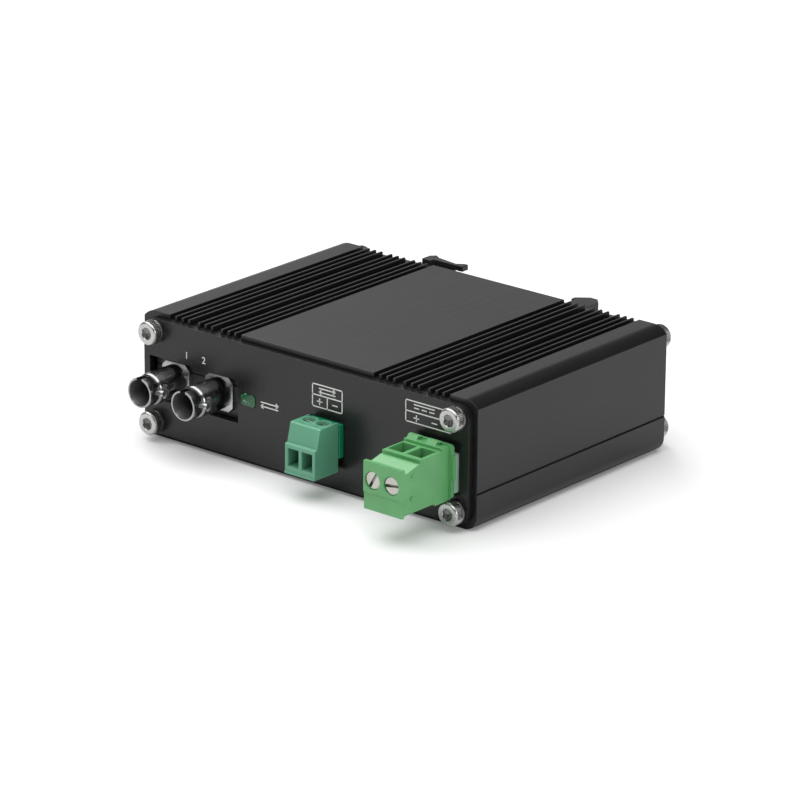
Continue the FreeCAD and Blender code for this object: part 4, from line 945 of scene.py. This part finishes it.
class CONVERTER_OT_rail_clip(bpy.types.Operator):
    """Dress the clip for the mounting rail"""

    bl_idname = "converter.rail_clip"
    bl_label = "Rail clip"

    def execute(self, context):
        nylon = moulded_plastic("Glass-filled nylon, moulded black", tuple(colours().clip_black), 0.5, 0.35)
        softened("rail_clip_base", "case", nylon, sizes().plastic_edge)
        softened("rail_clip_latch", "rail_latch", nylon, sizes().plastic_edge)
        wire = bare_metal("Music wire, coiled", linear("#a9a7a2"), 0.25, 0.3)
        coil = softened("latch_spring", "case", wire, mm(0.01), sharp_above=80.0)
        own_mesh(coil)
        oxide = bare_metal("Steel under black oxide", linear("#35353a"), 0.35, 0.3)
        soften_all("case", ("rail_clip_screws", "clip_screw_black", oxide, 0.06))
        return {"FINISHED"}


# Stage


# Name, place, aim, width, height and power of each lamp, in metres and watts
LAMPS = (
    ("Top softbox", (-0.3, -0.2, 1.0), (-0.3, -0.2, 0), 2.1, 1.3, 22.0),
    ("Left card", (-0.58, 0.42, 0.66), (0, -0.04, 0.01), 0.3, 0.3, 1.3),
    ("Rear card", (-0.75, 0.9, 0.3), (0, 0, 0), 1.6, 0.5, 1.15),
    ("Right softbox", (1.0, -0.1, 0.3), (0, 0, 0.01), 0.5, 0.4, 2.4),
    ("Front softbox", (-0.35, -1.0, 0.4), (0, 0, 0.01), 0.6, 0.5, 1.2),
)

# The camera's turn to the right of the front, height and roll in degrees, its distance and
# what it looks at in millimetres, and its lens on a sensor 36 mm wide
CAMERA_ANGLES = (39.7542, 19.5483, 0.5002)
CAMERA_DISTANCE = 1045.14
CAMERA_AIM = (-1.095, 0.0, 9.472)
CAMERA_LENS = 214.64

# Size of the floor in metres, and its gap under the case in millimetres
FLOOR_SIZE = 6.0
FLOOR_GAP = 0.05


def area_light(name, place, aim, width, height, power):
    """Rectangular softbox that the camera doesn't see."""
    data = bpy.data.lights.new(name, "AREA")
    data.shape = "RECTANGLE"
    data.size = width
    data.size_y = height
    data.energy = power
    lamp = bpy.data.objects.new(name, data)
    lamp.location = place
    lamp.visible_camera = False
    lamp.rotation_mode = "QUATERNION"
    lamp.rotation_quaternion = (Vector(aim) - Vector(place)).to_track_quat("-Z", "Y")
    bpy.context.scene.collection.objects.link(lamp)


def by_camera_ray(tree, otherwise, seen):
    """One shader for the camera and another for all other rays."""
    ray = add_node(tree, "ShaderNodeLightPath").outputs["Is Camera Ray"]
    return add_node(tree, "ShaderNodeMixShader", links={0: ray, 1: otherwise, 2: seen}).outputs["Shader"]


def studio_floor():
    """Pale floor that turns to plain white for the camera but keeps the shadow."""
    bm = bmesh.new()
    bmesh.ops.create_grid(bm, x_segments=1, y_segments=1, size=FLOOR_SIZE)
    mesh = bpy.data.meshes.new("studio_floor")
    bm.to_mesh(mesh)
    bm.free()
    floor = bpy.data.objects.new("studio_floor", mesh)
    bpy.context.scene.collection.objects.link(floor)
    mesh.transform(Matrix.Translation((0, 0, -mm(FLOOR_GAP))))
    material = bpy.data.materials.new("Paper sweep, matt white")
    material.use_nodes = True
    tree = material.node_tree
    tree.nodes.clear()
    paper = add_node(tree, "ShaderNodeBsdfDiffuse", {"Color": linear("#e9e9e9")})
    lift = add_node(tree, "ShaderNodeEmission", {"Color": linear("#ffffff"), "Strength": 0.13})
    shaders = {0: paper.outputs["BSDF"], 1: lift.outputs["Emission"]}
    both = add_node(tree, "ShaderNodeAddShader", links=shaders)
    surface = by_camera_ray(tree, paper.outputs["BSDF"], both.outputs["Shader"])
    add_node(tree, "ShaderNodeOutputMaterial", links={"Surface": surface})
    mesh.materials.append(material)


def studio_world():
    """Dim room that is plain white to the camera."""
    world = bpy.data.worlds.new("Studio")
    world.use_nodes = True
    tree = world.node_tree
    tree.nodes.clear()
    room, white = (
        add_node(tree, "ShaderNodeBackground", {"Color": linear("#ffffff"), "Strength": strength})
        for strength in (0.08, 1.0)
    )
    surface = by_camera_ray(tree, room.outputs["Background"], white.outputs["Background"])
    add_node(tree, "ShaderNodeOutputWorld", links={"Surface": surface})
    bpy.context.scene.world = world


def photo_camera():
    """Camera at the photograph's angle: turned to the right of the front and a little above."""
    azimuth, elevation, roll = (math.radians(angle) for angle in CAMERA_ANGLES)
    level = math.cos(elevation)
    back = Vector((math.sin(azimuth) * level, -math.cos(azimuth) * level, math.sin(elevation)))
    right = Vector((math.cos(azimuth), math.sin(azimuth), 0.0))
    up = back.cross(right)
    leaning_right = right * math.cos(roll) + up * math.sin(roll)
    leaning_up = up * math.cos(roll) - right * math.sin(roll)
    data = bpy.data.cameras.new("Camera")
    data.sensor_width = 36.0
    data.lens = CAMERA_LENS
    data.clip_start = 0.05
    data.clip_end = 20.0
    camera = bpy.data.objects.new("Camera", data)
    turn = Matrix((leaning_right, leaning_up, back)).transposed()
    camera.rotation_mode = "QUATERNION"
    camera.rotation_quaternion = turn.to_quaternion()
    camera.location = Vector(CAMERA_AIM) * mm(1) + back * mm(CAMERA_DISTANCE)
    bpy.context.scene.collection.objects.link(camera)
    bpy.context.scene.camera = camera


class CONVERTER_OT_stage(bpy.types.Operator):
    """Set up the floor, the lights and the camera"""

    bl_idname = "converter.stage"
    bl_label = "Stage"

    def execute(self, context):
        studio_floor()
        studio_world()
        photo_camera()
        for lamp in LAMPS:
            area_light(*lamp)
        context.scene.view_settings.view_transform = "Standard"
        return {"FINISHED"}


OPERATORS = (
    CONVERTER_OT_case,
    CONVERTER_OT_fasteners,
    CONVERTER_OT_fibre_ports,
    CONVERTER_OT_status_light,
    CONVERTER_OT_serial_connector,
    CONVERTER_OT_power_connector,
    CONVERTER_OT_panel_print,
    CONVERTER_OT_electronics,
    CONVERTER_OT_rail_clip,
    CONVERTER_OT_stage,
)


class CONVERTER_PT_tools(bpy.types.Panel):
    """Sizes, colours and pieces of the media converter"""

    bl_idname = "CONVERTER_PT_tools"
    bl_label = "Fibre media converter"
    bl_space_type = "VIEW_3D"
    bl_region_type = "UI"
    bl_category = "Converter"

    def draw(self, context):
        column = self.layout.column()
        for group in (context.scene.converter_sizes, context.scene.converter_colours):
            for name in group.bl_rna.properties.keys():
                if name not in ("rna_type", "name"):
                    column.prop(group, name)
        for operator in OPERATORS:
            column.operator(operator.bl_idname)


CLASSES = (ConverterSizes, ConverterColours) + OPERATORS + (CONVERTER_PT_tools,)


def register():
    for item in CLASSES:
        bpy.utils.register_class(item)
    bpy.types.Scene.converter_sizes = PointerProperty(type=ConverterSizes)
    bpy.types.Scene.converter_colours = PointerProperty(type=ConverterColours)


def unregister():
    del bpy.types.Scene.converter_colours
    del bpy.types.Scene.converter_sizes
    for item in reversed(CLASSES):
        bpy.utils.unregister_class(item)


def main():
    register()
    for operator in OPERATORS:
        group, name = operator.bl_idname.split(".")
        getattr(getattr(bpy.ops, group), name)()


if __name__ == "__main__":
    main()
